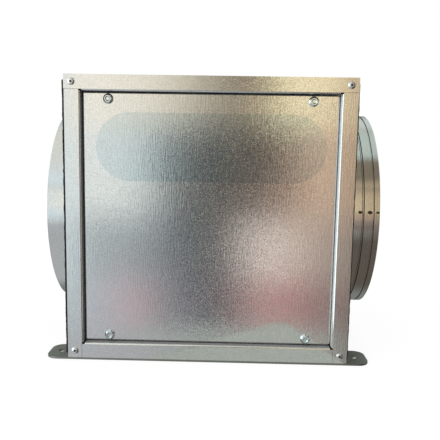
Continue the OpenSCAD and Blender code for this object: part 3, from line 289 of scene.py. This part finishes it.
def zinc(name, colour, streak_along, rough=0.08, grain=0.0012, dust=0.15, painted_tone=None, painted_sides=(),
         painted_from=0.93, painted_to=0.99):
    """Galvanised steel: zinc grains that lean a little each, rolling streaks and dull patches.

    The painted tone is a flat colour painted on the surfaces that face the painted sides: painted shade
    where it is dark, a painted highlight where it is pale."""
    grain_lean = 0.028
    streak_depth = 0.000042
    painted_rough = 0.6
    made, tree = empty_material(name)
    place = put(tree, "TexCoord").outputs["Object"]
    crystals = pattern(tree, "TexVoronoi", place, Scale=1 / grain)
    flake = put(tree, "SeparateColor")
    join(tree, crystals.outputs["Color"], flake.inputs[0])
    fine = pattern(tree, "TexVoronoi", place, Scale=1.5 / grain)
    speck = put(tree, "SeparateColor")
    join(tree, fine.outputs["Color"], speck.inputs[0])
    stretch = put(tree, "Mapping")
    stretch.inputs["Scale"].default_value = [60 if axis == streak_along else 700 for axis in "XYZ"]
    join(tree, place, stretch.inputs["Vector"])
    streaks = pattern(tree, "TexNoise", stretch.outputs[0], Scale=1.0, Detail=1.0, Roughness=0.5)
    patches = pattern(tree, "TexNoise", place, Scale=11.0, Detail=5.0, Roughness=0.62)

    shade = spread(tree, flake.outputs[0], 0.97, 0.15)
    shade = number(tree, "ADD", shade, spread(tree, streaks.outputs["Fac"], 0.0, 0.2))
    shade = number(tree, "ADD", shade, spread(tree, patches.outputs["Fac"], 0.0, 0.10))
    base = mixed(tree, 1.0, colour, shade, "MULTIPLY")
    gloss = spread(tree, patches.outputs["Fac"], rough, 0.06)
    dusty = smooth_step(tree, speck.outputs[1], 0.5, 1.0)
    gloss = number(tree, "ADD", gloss, number(tree, "MULTIPLY", dusty, dust))
    surface = put(tree, "NewGeometry")
    metal = 1.0
    # Faces toward the painted sides lose their metal and take the painted tone: painted shade where it is
    # dark, a painted highlight where it is pale.
    for side in painted_sides:
        facing = put(tree, "VectorMath", operation="DOT_PRODUCT")
        join(tree, surface.outputs["True Normal"], facing.inputs[0])
        facing.inputs[1].default_value = side
        dull = smooth_step(tree, facing.outputs["Value"], painted_from, painted_to)
        base = mixed(tree, dull, base, painted_tone)
        gloss = number(tree, "ADD", gloss, number(tree, "MULTIPLY", dull, painted_rough))
        metal = number(tree, "SUBTRACT", metal, dull)
    lean = put(tree, "VectorMath", operation="SUBTRACT")
    join(tree, mixed(tree, 0.5, crystals.outputs["Color"], fine.outputs["Color"]), lean.inputs[0])
    lean.inputs[1].default_value = (0.5, 0.5, 0.5)
    leaning = put(tree, "VectorMath", operation="MULTIPLY_ADD")
    join(tree, lean.outputs[0], leaning.inputs[0])
    leaning.inputs[1].default_value = (grain_lean, grain_lean, grain_lean)
    join(tree, surface.outputs["Normal"], leaning.inputs[2])
    raised = put(tree, "Bump", Strength=1.0, Distance=streak_depth)
    join(tree, streaks.outputs["Fac"], raised.inputs["Height"])
    join(tree, leaning.outputs[0], raised.inputs["Normal"])

    skin = put(tree, "BsdfPrincipled")
    join(tree, base, skin.inputs["Base Color"])
    join(tree, metal, skin.inputs["Metallic"])
    join(tree, gloss, skin.inputs["Roughness"])
    join(tree, raised.outputs[0], skin.inputs["Normal"])
    show(tree, skin)
    return made


def dress(material, *names):
    """Gives CAD nodes their finish."""
    for name in names:
        mesh = nodes[name].data
        mesh.materials.clear()
        mesh.materials.append(material)


sheet_grey = (0.82, 0.83, 0.82)
upright_zinc = zinc("galvanised_upright", sheet_grey, "Z")
level_zinc = zinc("galvanised_level", sheet_grey, "X")
dress(upright_zinc, "inlet_side_panel", "outlet_side_panel", "rear_panel")
dress(level_zinc, "top_panel", "bottom_panel")

# ---- Front frame ----
# Two stiles stand between two rails, all folded from the same galvanised sheet and riveted at the
# corners. Their inner returns carry a flat painted colour with no metal: painted shade in dark grey
# on the left stile and the rails, and a painted highlight in pale grey on the right stile.
# Each piece's grey is the flat painted colour of its inner return: dark for painted shade, pale for a
# painted highlight.
frame_pieces = (("left_stile", "Z", 0.12, (1, 0, 0)), ("right_stile", "Z", 0.80, (-1, 0, 0)),
                ("top_rail", "X", 0.12, (0, 0, -1)), ("bottom_rail", "X", 0.25, (0, 0, 1)))
for node, along, grey, inward in frame_pieces:
    finish = zinc("galvanised_" + node, sheet_grey, along, painted_tone=(grey, grey, grey), painted_sides=(inward,))
    dress(finish, node)

# ---- Foam strips ----
# Closed-cell foam seals the casing, black behind the front frame and dark grey on the landing
# behind the access panel. It is squeezed, so its edges bulge unevenly.


def foam(name, deep, light):
    """Closed-cell foam: fine open cells in a dull dark skin."""
    made, tree = empty_material(name)
    place = put(tree, "TexCoord").outputs["Object"]
    cells = pattern(tree, "TexVoronoi", place, Scale=1100.0)
    pores = pattern(tree, "TexNoise", place, Scale=420.0, Detail=3.0)
    pitted = put(tree, "Bump", Strength=0.5, Distance=0.0003)
    join(tree, number(tree, "ADD", cells.outputs["Distance"], pores.outputs["Fac"]),
         pitted.inputs["Height"])
    skin = put(tree, "BsdfPrincipled", Roughness=0.9, Specular_IOR_Level=0.25)
    join(tree, ramp(tree, pores.outputs["Fac"], (0.35, (deep, deep, deep)), (0.7, (light, light, light))),
         skin.inputs["Base Color"])
    join(tree, pitted.outputs[0], skin.inputs["Normal"])
    show(tree, skin)
    return made


def only(piece):
    """Makes one object the selected and active one."""
    bpy.ops.object.select_all(action="DESELECT")
    piece.select_set(True)
    bpy.context.view_layer.objects.active = piece


def copy_of(node, name):
    """A free copy of a CAD node's shape, with its loose triangles merged."""
    piece = bpy.data.objects.new(name, nodes[node].data.copy())
    bpy.context.collection.objects.link(piece)
    only(piece)
    bpy.ops.object.mode_set(mode="EDIT")
    bpy.ops.mesh.select_all(action="SELECT")
    bpy.ops.mesh.remove_doubles(threshold=1e-6)
    bpy.ops.object.mode_set(mode="OBJECT")
    piece.data.materials.clear()
    return piece


uneven = bpy.data.textures.new("uneven", "CLOUDS")
uneven.noise_scale = 0.009
sheet_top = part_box("top_panel")[1][2] - 0.0003


def foam_strip(name, node, voxel, swell, material):
    """Foam in a CAD node's place, with soft edges and a slightly wavy skin."""
    piece = copy_of(node, name)
    soft = piece.modifiers.new("soft", "REMESH")
    soft.mode = "VOXEL"
    soft.voxel_size = voxel
    wavy = piece.modifiers.new("wavy", "DISPLACE")
    wavy.texture = uneven
    wavy.texture_coords = "LOCAL"
    wavy.mid_level = 0.5 - swell
    wavy.strength = 0.0016
    eased = piece.modifiers.new("eased", "SMOOTH")
    eased.iterations = 2
    for modifier in ("soft", "wavy", "eased"):
        bpy.ops.object.modifier_apply(modifier=modifier)
    bpy.ops.object.mode_set(mode="EDIT")
    bpy.ops.mesh.select_all(action="SELECT")
    bpy.ops.mesh.bisect(plane_co=(0, 0, sheet_top), plane_no=(0, 0, 1), use_fill=True, clear_outer=True)
    bpy.ops.object.mode_set(mode="OBJECT")
    bpy.ops.object.shade_smooth()
    piece.data.materials.append(material)
    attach(piece, "cabinet")
    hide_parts(node)


foam_strip("frame_foam", "frame_seal", 0.0011, 0.28, foam("black_foam", 0.010, 0.030))
foam_strip("landing_foam", "panel_seal", 0.0012, -0.12, foam("grey_foam", 0.10, 0.16))

# ---- Rivets and screws ----
# Blind rivets of zinc-plated steel hold the frame, casing and spigots. In each head sits the broken
# end of its mandrel, coloured near black as painted shade for the hollow of the head.


def plated(name, colour, rough, wear=0.1):
    """Bright plated steel, with a faint cloudiness and fine tool marks."""
    made, tree = empty_material(name)
    place = put(tree, "TexCoord").outputs["Object"]
    cloud = pattern(tree, "TexNoise", place, Scale=90.0, Detail=4.0)
    ticks = pattern(tree, "TexNoise", place, Scale=1500.0, Detail=1.0)
    skin = put(tree, "BsdfPrincipled", Metallic=1.0)
    join(tree, mixed(tree, 1.0, colour, spread(tree, cloud.outputs["Fac"], 0.95, 2 * wear), "MULTIPLY"),
         skin.inputs["Base Color"])
    join(tree, spread(tree, cloud.outputs["Fac"], rough, wear), skin.inputs["Roughness"])
    raised = put(tree, "Bump", Strength=0.12, Distance=0.0001)
    join(tree, ticks.outputs["Fac"], raised.inputs["Height"])
    join(tree, raised.outputs[0], skin.inputs["Normal"])
    show(tree, skin)
    return made


rivet_steel = plated("rivet_steel", (0.80, 0.81, 0.81), 0.20)
bright_zinc = plated("bright_zinc", (0.76, 0.82, 0.83), 0.12)
# Near black: painted shade in the hollow of each rivet head.
hollow_shade_steel = plated("hollow_shade_steel", (0.07, 0.065, 0.06), 0.5)
dress(rivet_steel, "corner_rivets", "side_rivets", "rear_rivets", "spigot_rivets")
dress(bright_zinc, "rail_screws", "rail_nuts", "support_bolts", "support_nuts", "motor_screws",
      "terminal_box_screws", "terminal_lid_screws", "impeller_screws")


def solids_of(node):
    """Boxes of a CAD node's separate solids, each as its lowest and highest corner."""
    shape = bmesh.new()
    shape.from_mesh(nodes[node].data)
    bmesh.ops.remove_doubles(shape, verts=shape.verts, dist=1e-6)
    left = set(shape.verts)
    boxes = []
    while left:
        edge_of = [left.pop()]
        corners = [edge_of[0].co.copy()]
        while edge_of:
            for edge in edge_of.pop().link_edges:
                for vert in edge.verts:
                    if vert in left:
                        left.remove(vert)
                        edge_of.append(vert)
                        corners.append(vert.co.copy())
        boxes.append([Vector([pick(c[i] for c in corners) for i in range(3)]) for pick in (min, max)])
    shape.free()
    return boxes


def settle(piece, body, material=None):
    """Bakes a piece's place into its mesh, gives it its finish, and lets it ride on a body."""
    only(piece)
    bpy.ops.object.transform_apply(location=True, rotation=True, scale=True)
    if material:
        piece.data.materials.clear()
        piece.data.materials.append(material)
    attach(piece, body)


def repeat(piece, name, places):
    """Copies one modelled piece to each place, a matrix, and joins the copies."""
    copies = []
    for place in places:
        twin = bpy.data.objects.new(name, piece.data.copy())
        bpy.context.collection.objects.link(twin)
        twin.matrix_world = place
        copies.append(twin)
    bpy.data.objects.remove(piece)
    only(copies[0])
    for twin in copies:
        twin.select_set(True)
    bpy.ops.object.transform_apply(location=True, rotation=True, scale=True)
    bpy.ops.object.join()
    return bpy.context.object


mandrel_r = 0.0014
mandrel_sink = 0.0007
mandrel_len = 0.0006
for node, axis in (("corner_rivets", 1), ("side_rivets", 0), ("rear_rivets", 1), ("spigot_rivets", 0)):
    places = []
    for low, high in solids_of(node):
        middle = (low + high) / 2
        out = Vector((0, 0, 0))
        out[axis] = 1 if middle[axis] > 0 else -1
        middle[axis] = (high if out[axis] > 0 else low)[axis]
        places.append(Matrix.Translation(middle - out * mandrel_sink)
                      @ out.to_track_quat("Z", "Y").to_matrix().to_4x4())
    bpy.ops.object.select_all(action="DESELECT")
    bpy.ops.mesh.primitive_cylinder_add(vertices=14, radius=mandrel_r, depth=mandrel_len,
                                        location=(0, 0, -mandrel_len / 2))
    stub = bpy.context.object
    bpy.ops.object.transform_apply(location=True)
    crown = stub.modifiers.new("crown", "BEVEL")
    crown.width = 0.0003
    crown.segments = 2
    bpy.ops.object.modifier_apply(modifier="crown")
    ends = repeat(stub, node.replace("rivets", "mandrels"), places)
    settle(ends, "cabinet", hollow_shade_steel)

# ---- Spigots ----
# Each spigot is a rolled strip of thin galvanised sheet, lapped and spot welded along a line, in
# front on the outlet's and at the rear on the inlet's. Each weld has burnt a dark spot.
# Faces that turn along the axis, the groove slopes and the rims, take a near-black flat colour: painted
# shade in the grooves.
spigot_zinc = zinc("galvanised_spigot", (0.80, 0.81, 0.80), "Z", rough=0.12, grain=0.0010, dust=0.06,
                   painted_tone=(0.035, 0.033, 0.03), painted_sides=((1, 0, 0), (-1, 0, 0)),
                   painted_from=0.2, painted_to=0.7)
dress(spigot_zinc, "inlet_spigot", "outlet_spigot")
dress(upright_zinc, "inlet_cone")
wall_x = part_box("rear_panel")[1][0]
axis_z = (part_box("rotor_shaft")[0][2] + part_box("rotor_shaft")[1][2]) / 2
spigot_r = 0.157
lap_t = 0.0005
lap_turn = math.radians(5)
grooves = ((0.0255, 0.0034), (0.041, 0.0022))
groove_depth = 0.0013
root_end = 0.0026
weld_r = 0.0026
weld_inset = 0.012
weld_clear = 0.003
burnt, tree = empty_material("burnt_zinc")
place = put(tree, "TexCoord").outputs["Object"]
scorch = pattern(tree, "TexNoise", place, Scale=700.0, Detail=3.0)
skin = put(tree, "BsdfPrincipled", Metallic=0.7, Roughness=0.55)
join(tree, ramp(tree, scorch.outputs["Fac"], (0.35, (0.035, 0.022, 0.015)), (0.65, (0.12, 0.08, 0.055))),
     skin.inputs["Base Color"])
show(tree, skin)


def spun(name, outline, turn, steps, start=0.0, centre=(0, 0, 0)):
    """Spins an outline of (along, out) points about the air path's axis, from a start angle."""
    away = Vector((0, -math.cos(start), math.sin(start)))
    points = [Vector(centre) + Vector((along, 0, 0)) + away * out for along, out in outline]
    bpy.ops.object.select_all(action="DESELECT")
    bpy.ops.mesh.primitive_plane_add(size=0.001, location=points[0])
    piece = bpy.context.object
    piece.name = name
    bpy.ops.object.transform_apply(location=True, rotation=True, scale=True)
    bpy.ops.object.mode_set(mode="EDIT")
    bpy.ops.mesh.select_all(action="SELECT")
    bpy.ops.mesh.merge(type="CENTER")
    for last, point in zip(points, points[1:]):
        bpy.ops.mesh.extrude_region_move(TRANSFORM_OT_translate={"value": point - last})
    bpy.ops.mesh.select_all(action="SELECT")
    bpy.ops.mesh.spin(steps=steps, angle=turn, center=centre, axis=(-1, 0, 0))
    bpy.ops.mesh.select_all(action="SELECT")
    bpy.ops.mesh.remove_doubles(threshold=1e-7)
    bpy.ops.mesh.normals_make_consistent(inside=False)
    bpy.ops.object.mode_set(mode="OBJECT")
    return piece


for side, node, lap_height in ((-1, "inlet_spigot", math.radians(200)),
                               (1, "outlet_spigot", math.radians(5))):
    low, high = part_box(node)
    end = (high if side > 0 else low)[0]
    wall = side * wall_x
    outline = [(wall + side * root_end, spigot_r)]
    if side > 0:
        for at, width in grooves:
            outline += [(wall + at - width / 2, spigot_r), (wall + at - width / 6, spigot_r - groove_depth),
                        (wall + at + width / 6, spigot_r - groove_depth), (wall + at + width / 2, spigot_r)]
    outline.append((end - side * lap_t, spigot_r))
    lap = spun(node.replace("spigot", "lap"), outline, lap_turn, 8, lap_height - lap_turn, (0, 0, axis_z))
    thick = lap.modifiers.new("thick", "SOLIDIFY")
    thick.thickness = lap_t
    thick.offset = 1.0
    bpy.ops.object.modifier_apply(modifier="thick")
    bpy.ops.object.shade_smooth_by_angle(angle=math.radians(30))
    settle(lap, "cabinet", spigot_zinc)

    spots = []
    reach = abs(end - wall)
    for share, wide in ((0.42, 1.0), (0.71, 1.15), (0.95, 0.8)):
        out = Vector((0, -math.cos(lap_height - weld_inset), math.sin(lap_height - weld_inset)))
        along = min(share * reach, reach - weld_clear)
        at = Vector((wall + side * along, 0, axis_z)) + out * (spigot_r + lap_t)
        spots.append(Matrix.Translation(at) @ out.to_track_quat("Z", "X").to_matrix().to_4x4()
                     @ Matrix.Diagonal((wide, wide, 1, 1)))
    bpy.ops.object.select_all(action="DESELECT")
    bpy.ops.mesh.primitive_uv_sphere_add(segments=20, ring_count=8, radius=weld_r)
    spot = bpy.context.object
    spot.scale = (0.85, 1.15, 0.09)
    bpy.ops.object.transform_apply(scale=True)
    bpy.ops.object.shade_smooth()
    welds = repeat(spot, node.replace("spigot", "welds"), spots)
    settle(welds, "cabinet", burnt)

# ---- Mounting rails ----
# Two flat bars of thick galvanised plate run under the bottom sheet. They are dull and dark, and
# their ends are rounded and drilled.
plate_zinc = zinc("galvanised_plate", (0.30, 0.31, 0.29), "X", 0.42, 0.0022)
dress(plate_zinc, "front_mounting_rail", "rear_mounting_rail")

# ---- Motor support ----
# A welded plate behind the impeller carries the motor. Its four legs reach past the impeller to
# rubber buffers on the inlet side.
dress(upright_zinc, "motor_support")


def moulded(name, colour, rough, grain, depth):
    """Moulded plastic or rubber with a fine grain and slightly uneven gloss."""
    made, tree = empty_material(name)
    place = put(tree, "TexCoord").outputs["Object"]
    dimples = pattern(tree, "TexNoise", place, Scale=1 / grain, Detail=2.0)
    wear = pattern(tree, "TexNoise", place, Scale=35.0, Detail=4.0)
    skin = put(tree, "BsdfPrincipled")
    join(tree, mixed(tree, 1.0, colour, spread(tree, wear.outputs["Fac"], 1.0, 0.3), "MULTIPLY"),
         skin.inputs["Base Color"])
    join(tree, spread(tree, wear.outputs["Fac"], rough, 0.2), skin.inputs["Roughness"])
    raised = put(tree, "Bump", Strength=0.35, Distance=depth)
    join(tree, dimples.outputs["Fac"], raised.inputs["Height"])
    join(tree, raised.outputs[0], skin.inputs["Normal"])
    show(tree, skin)
    return made


rubber = moulded("black_rubber", (0.030, 0.030, 0.031), 0.62, 0.0009, 0.0002)
dress(rubber, "rubber_buffers", "wall_grommet")
buffer_boxes = solids_of("rubber_buffers")
low, high = buffer_boxes[0]
r = (high.y - low.y) / 2
end = (high.x - low.x) / 2
hole_r = 0.0032
soft_edge = 0.0006
waist_depth = 0.0011
waist = [(end, hole_r), (end, r - soft_edge), (end - soft_edge, r), (0.6 * end, r),
         (0.28 * end, r - waist_depth), (-0.28 * end, r - waist_depth), (-0.6 * end, r),
         (-end + soft_edge, r), (-end, r - soft_edge), (-end, hole_r)]
buffer = spun("buffer", waist + waist[:1], 2 * math.pi, 40)
bpy.ops.object.shade_smooth_by_angle(angle=math.radians(35))
buffers = repeat(buffer, "buffers", [Matrix.Translation((low + high) / 2) for low, high in buffer_boxes])
settle(buffers, "cabinet", rubber)
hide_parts("rubber_buffers")

low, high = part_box("wall_grommet")
lip_r = (high[0] - low[0]) / 2
neck_r = lip_r - 0.002
lead_r = lip_r - 0.005
length = high[1] - low[1]
lip_t = 0.0025
lip = [(0.0006, lead_r), (0, lead_r + 0.0008), (0, lip_r - 0.0009), (0.0003, lip_r - 0.0003),
       (0.0009, lip_r), (lip_t - 0.0005, lip_r), (lip_t, lip_r - 0.0004), (lip_t, neck_r),
       (length - 0.0004, neck_r), (length, neck_r - 0.0004), (length, lead_r)]
grommet = spun("grommet", lip + lip[:1], 2 * math.pi, 40)
bpy.ops.object.shade_smooth_by_angle(angle=math.radians(35))
middle = Vector(((low[0] + high[0]) / 2, low[1], (low[2] + high[2]) / 2))
in_wall = Matrix.Translation(middle) @ Matrix.Rotation(math.pi / 2, 4, "Z")
grommet = repeat(grommet, "lead_grommet", [in_wall])
settle(grommet, "cabinet", rubber)
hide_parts("wall_grommet")

# ---- Motor ----
# A cast stator carries laminated steel and copper coils on two shielded ball bearings. The rotor
# cup turns round it, with magnets inside.


def cast(name, colour, rough):
    """Cast metal: a matt skin with a fine orange-peel and tone that varies at random."""
    made, tree = empty_material(name)
    place = put(tree, "TexCoord").outputs["Object"]
    peel = pattern(tree, "TexNoise", place, Scale=900.0, Detail=3.0)
    tone = pattern(tree, "TexNoise", place, Scale=40.0, Detail=5.0)
    skin = put(tree, "BsdfPrincipled", Metallic=1.0)
    join(tree, mixed(tree, 1.0, colour, spread(tree, tone.outputs["Fac"], 0.95, 0.3), "MULTIPLY"),
         skin.inputs["Base Color"])
    join(tree, spread(tree, tone.outputs["Fac"], rough, 0.16), skin.inputs["Roughness"])
    raised = put(tree, "Bump", Strength=0.4, Distance=0.0002)
    join(tree, peel.outputs["Fac"], raised.inputs["Height"])
    join(tree, raised.outputs[0], skin.inputs["Normal"])
    show(tree, skin)
    return made


dress(cast("cast_aluminium", (0.60, 0.61, 0.62), 0.45), "stator_housing", "electronics_cover")
dress(plated("ground_steel", (0.66, 0.67, 0.68), 0.2), "ball_bearings", "wave_washer", "rotor_shaft",
      "shaft_circlip")
dress(moulded("black_dip_coat", (0.028, 0.028, 0.030), 0.42, 0.0016, 0.0003), "rotor_cup")
dress(cast("bonded_ferrite", (0.10, 0.10, 0.11), 0.6), "rotor_magnets")

laminated, tree = empty_material("laminated_steel")
place = put(tree, "TexCoord").outputs["Object"]
stack = pattern(tree, "TexWave", place, wave_type="BANDS", bands_direction="X", Scale=320.0, Distortion=0.3)
skin = put(tree, "BsdfPrincipled", Metallic=1.0, Roughness=0.5)
join(tree, ramp(tree, stack.outputs["Fac"], (0.2, (0.12, 0.12, 0.13)), (0.7, (0.34, 0.34, 0.36))),
     skin.inputs["Base Color"])
edges = put(tree, "Bump", Strength=0.4, Distance=0.0002)
join(tree, stack.outputs["Fac"], edges.inputs["Height"])
join(tree, edges.outputs[0], skin.inputs["Normal"])
show(tree, skin)
dress(laminated, "stator_core")

enamel, tree = empty_material("enamelled_copper")
place = put(tree, "TexCoord").outputs["Object"]
tone = pattern(tree, "TexNoise", place, Scale=300.0, Detail=2.0)
skin = put(tree, "BsdfPrincipled", Metallic=0.9, Roughness=0.3, Coat_Weight=0.4)
join(tree, ramp(tree, tone.outputs["Fac"], (0.3, (0.42, 0.16, 0.06)), (0.7, (0.62, 0.27, 0.11))),
     skin.inputs["Base Color"])
show(tree, skin)
teeth = 12
wires = 8
core_low, core_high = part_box("stator_core")
coil_low, coil_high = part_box("stator_windings")
coil_in = 0.0235
coil_out = (coil_high[1] - coil_low[1]) / 2 - 0.0012
wire_r = 0.00085
loop_r = 0.0055
bpy.ops.object.select_all(action="DESELECT")
bpy.ops.mesh.primitive_torus_add(major_segments=16, minor_segments=6, major_radius=loop_r,
                                 minor_radius=wire_r)
turn_of_wire = bpy.context.object
bpy.ops.object.mode_set(mode="EDIT")
bpy.ops.mesh.select_all(action="SELECT")
bpy.ops.mesh.bisect(plane_co=(0, 0, 0), plane_no=(1, 0, 0), use_fill=True, clear_inner=True)
bpy.ops.object.mode_set(mode="OBJECT")
bpy.ops.object.shade_smooth()
places = []
for side, start in ((-1, core_low[0]), (1, core_high[0])):
    height = abs((coil_low if side < 0 else coil_high)[0] - start) / (loop_r + wire_r)
    for tooth in range(teeth):
        for wire in range(wires):
            out = coil_in + (coil_out - coil_in) * (wire + 0.5) / wires
            wide = min(1.15, 0.9 * math.pi * out / teeth / loop_r)
            places.append(Matrix.Translation((start, 0, axis_z))
                          @ Matrix.Rotation(2 * math.pi * (tooth + 0.5) / teeth, 4, "X")
                          @ Matrix.Translation((0, 0, out))
                          @ Matrix.Diagonal((side * height, side * wide, 1, 1)))
coils = repeat(turn_of_wire, "coils", places)
settle(coils, "cabinet", enamel)
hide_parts("stator_windings")

# ---- Electronics, lead and terminal box ----
# The drive electronics sit under a finned cast cover. A black lead runs from it through a rubber
# grommet to a grey plastic terminal box on the rear, with a cable gland below.
dress(moulded("black_plastic", (0.028, 0.028, 0.030), 0.45, 0.0005, 0.00008), "lead_gland", "cable_gland")
dress(moulded("black_lead", (0.022, 0.022, 0.023), 0.5, 0.0012, 0.0001), "motor_lead")
dress(moulded("grey_plastic", (0.235, 0.245, 0.250), 0.5, 0.0006, 0.0001), "terminal_box",
      "terminal_box_lid")
dress(moulded("white_plastic", (0.76, 0.76, 0.72), 0.4, 0.0006, 0.00005), "terminal_block")

# ---- Impeller ----
# Blades lean back between a back plate and a curved shroud, all pressed from satin aluminium
# sheet and screwed to the rotor cup.
dress(zinc("satin_aluminium", (0.83, 0.84, 0.85), "Z", 0.3, 0.0012), "impeller_back_plate",
      "impeller_blades", "impeller_shroud")

# ---- Access panel ----
# A shallow tray of galvanised sheet, held by four hexagon flange bolts in rivet nuts. A blank satin label
# with round ends is stuck to its face.
dress(upright_zinc, "access_panel")
dress(bright_zinc, "panel_bolts")
panel_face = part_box("access_panel")[0][1]
bolt_boxes = solids_of("panel_bolts")
bolt_low, bolt_high = bolt_boxes[0]
flange_r = (bolt_high.x - bolt_low.x) / 2
head_h = panel_face - bolt_low.y
shank_len = bolt_high.y - panel_face
shank_r = 0.003
thread = 0.001
hex_r = 0.0056
dish_r = 0.0034
dish_depth = 0.0011
flange_h = 0.0024
first_turn = 0.4
turn_step = 0.37
shank = [(-shank_len, 0), (-shank_len, shank_r - 0.0008), (-shank_len + 0.001, shank_r)]
for turn in range(int(shank_len / thread) - 2):
    along = -shank_len + 0.001 + turn * thread
    shank += [(along + 0.5 * thread, shank_r - 0.0005), (along + thread, shank_r)]
shank += [(0, shank_r), (0, flange_r - 0.0003), (0.0003, flange_r), (0.0010, flange_r),
          (0.0014, flange_r - 0.0004), (flange_h, hex_r - 0.0005), (flange_h, 0)]
bolt = spun("panel_bolt", shank, 2 * math.pi, 36)
bpy.ops.object.shade_smooth_by_angle(angle=math.radians(25))
crown = spun("crown", [(0, 0), (0, 2 * hex_r), (head_h - 0.0014, 2 * hex_r), (head_h - 0.0011, hex_r),
                       (head_h, hex_r - 0.0011), (head_h, dish_r + 0.0002), (head_h - 0.0002, dish_r),
                       (head_h - dish_depth, dish_r - 0.0012), (head_h - dish_depth, 0)], 2 * math.pi, 36)
bpy.ops.object.select_all(action="DESELECT")
bpy.ops.mesh.primitive_cylinder_add(vertices=6, radius=hex_r, depth=head_h, location=(head_h / 2, 0, 0),
                                    rotation=(0, math.pi / 2, 0))
head = bpy.context.object
bpy.ops.object.transform_apply(location=True, rotation=True, scale=True)
rounded = head.modifiers.new("rounded", "BOOLEAN")
rounded.operation = "INTERSECT"
rounded.object = crown
bpy.ops.object.modifier_apply(modifier="rounded")
bpy.data.objects.remove(crown)
bpy.ops.object.shade_smooth_by_angle(angle=math.radians(25))
only(bolt)
head.select_set(True)
bpy.ops.object.join()
places = []
for count, (low, high) in enumerate(bolt_boxes):
    middle = (low + high) / 2
    places.append(Matrix.Translation((middle.x, panel_face, middle.z))
                  @ Matrix.Rotation(-math.pi / 2, 4, "Z")
                  @ Matrix.Rotation(first_turn + turn_step * count, 4, "X"))
bolts = repeat(bolt, "hexagon_bolts", places)
settle(bolts, "front_panel", bright_zinc)
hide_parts("panel_bolts")
dress(plated("yellow_zinc", (0.72, 0.62, 0.36), 0.28), "rivet_nuts")
label_w = 0.320
label_h = 0.095
label_t = 0.0003
label_up = 0.3056
label_across = 0.0015
bpy.ops.object.select_all(action="DESELECT")
bpy.ops.mesh.primitive_plane_add(size=1, location=(label_across, panel_face, label_up),
                                 rotation=(math.pi / 2, 0, 0))
label = bpy.context.object
label.name = "blank_label"
label.scale = (label_w, label_h, 1)
bpy.ops.object.transform_apply(location=True, rotation=True, scale=True)
bpy.ops.object.mode_set(mode="EDIT")
bpy.ops.mesh.select_all(action="SELECT")
bpy.ops.mesh.bevel(affect="VERTICES", offset=label_h / 2 - 0.0001, segments=24)
bpy.ops.mesh.select_all(action="SELECT")
bpy.ops.mesh.extrude_region_move(TRANSFORM_OT_translate={"value": (0, -label_t, 0)})
bpy.ops.mesh.select_all(action="SELECT")
bpy.ops.mesh.normals_make_consistent(inside=False)
bpy.ops.object.mode_set(mode="OBJECT")
settle(label, "front_panel",
       zinc("satin_film", (0.67, 0.73, 0.75), "Z", 0.09, 0.0014, 0.12))
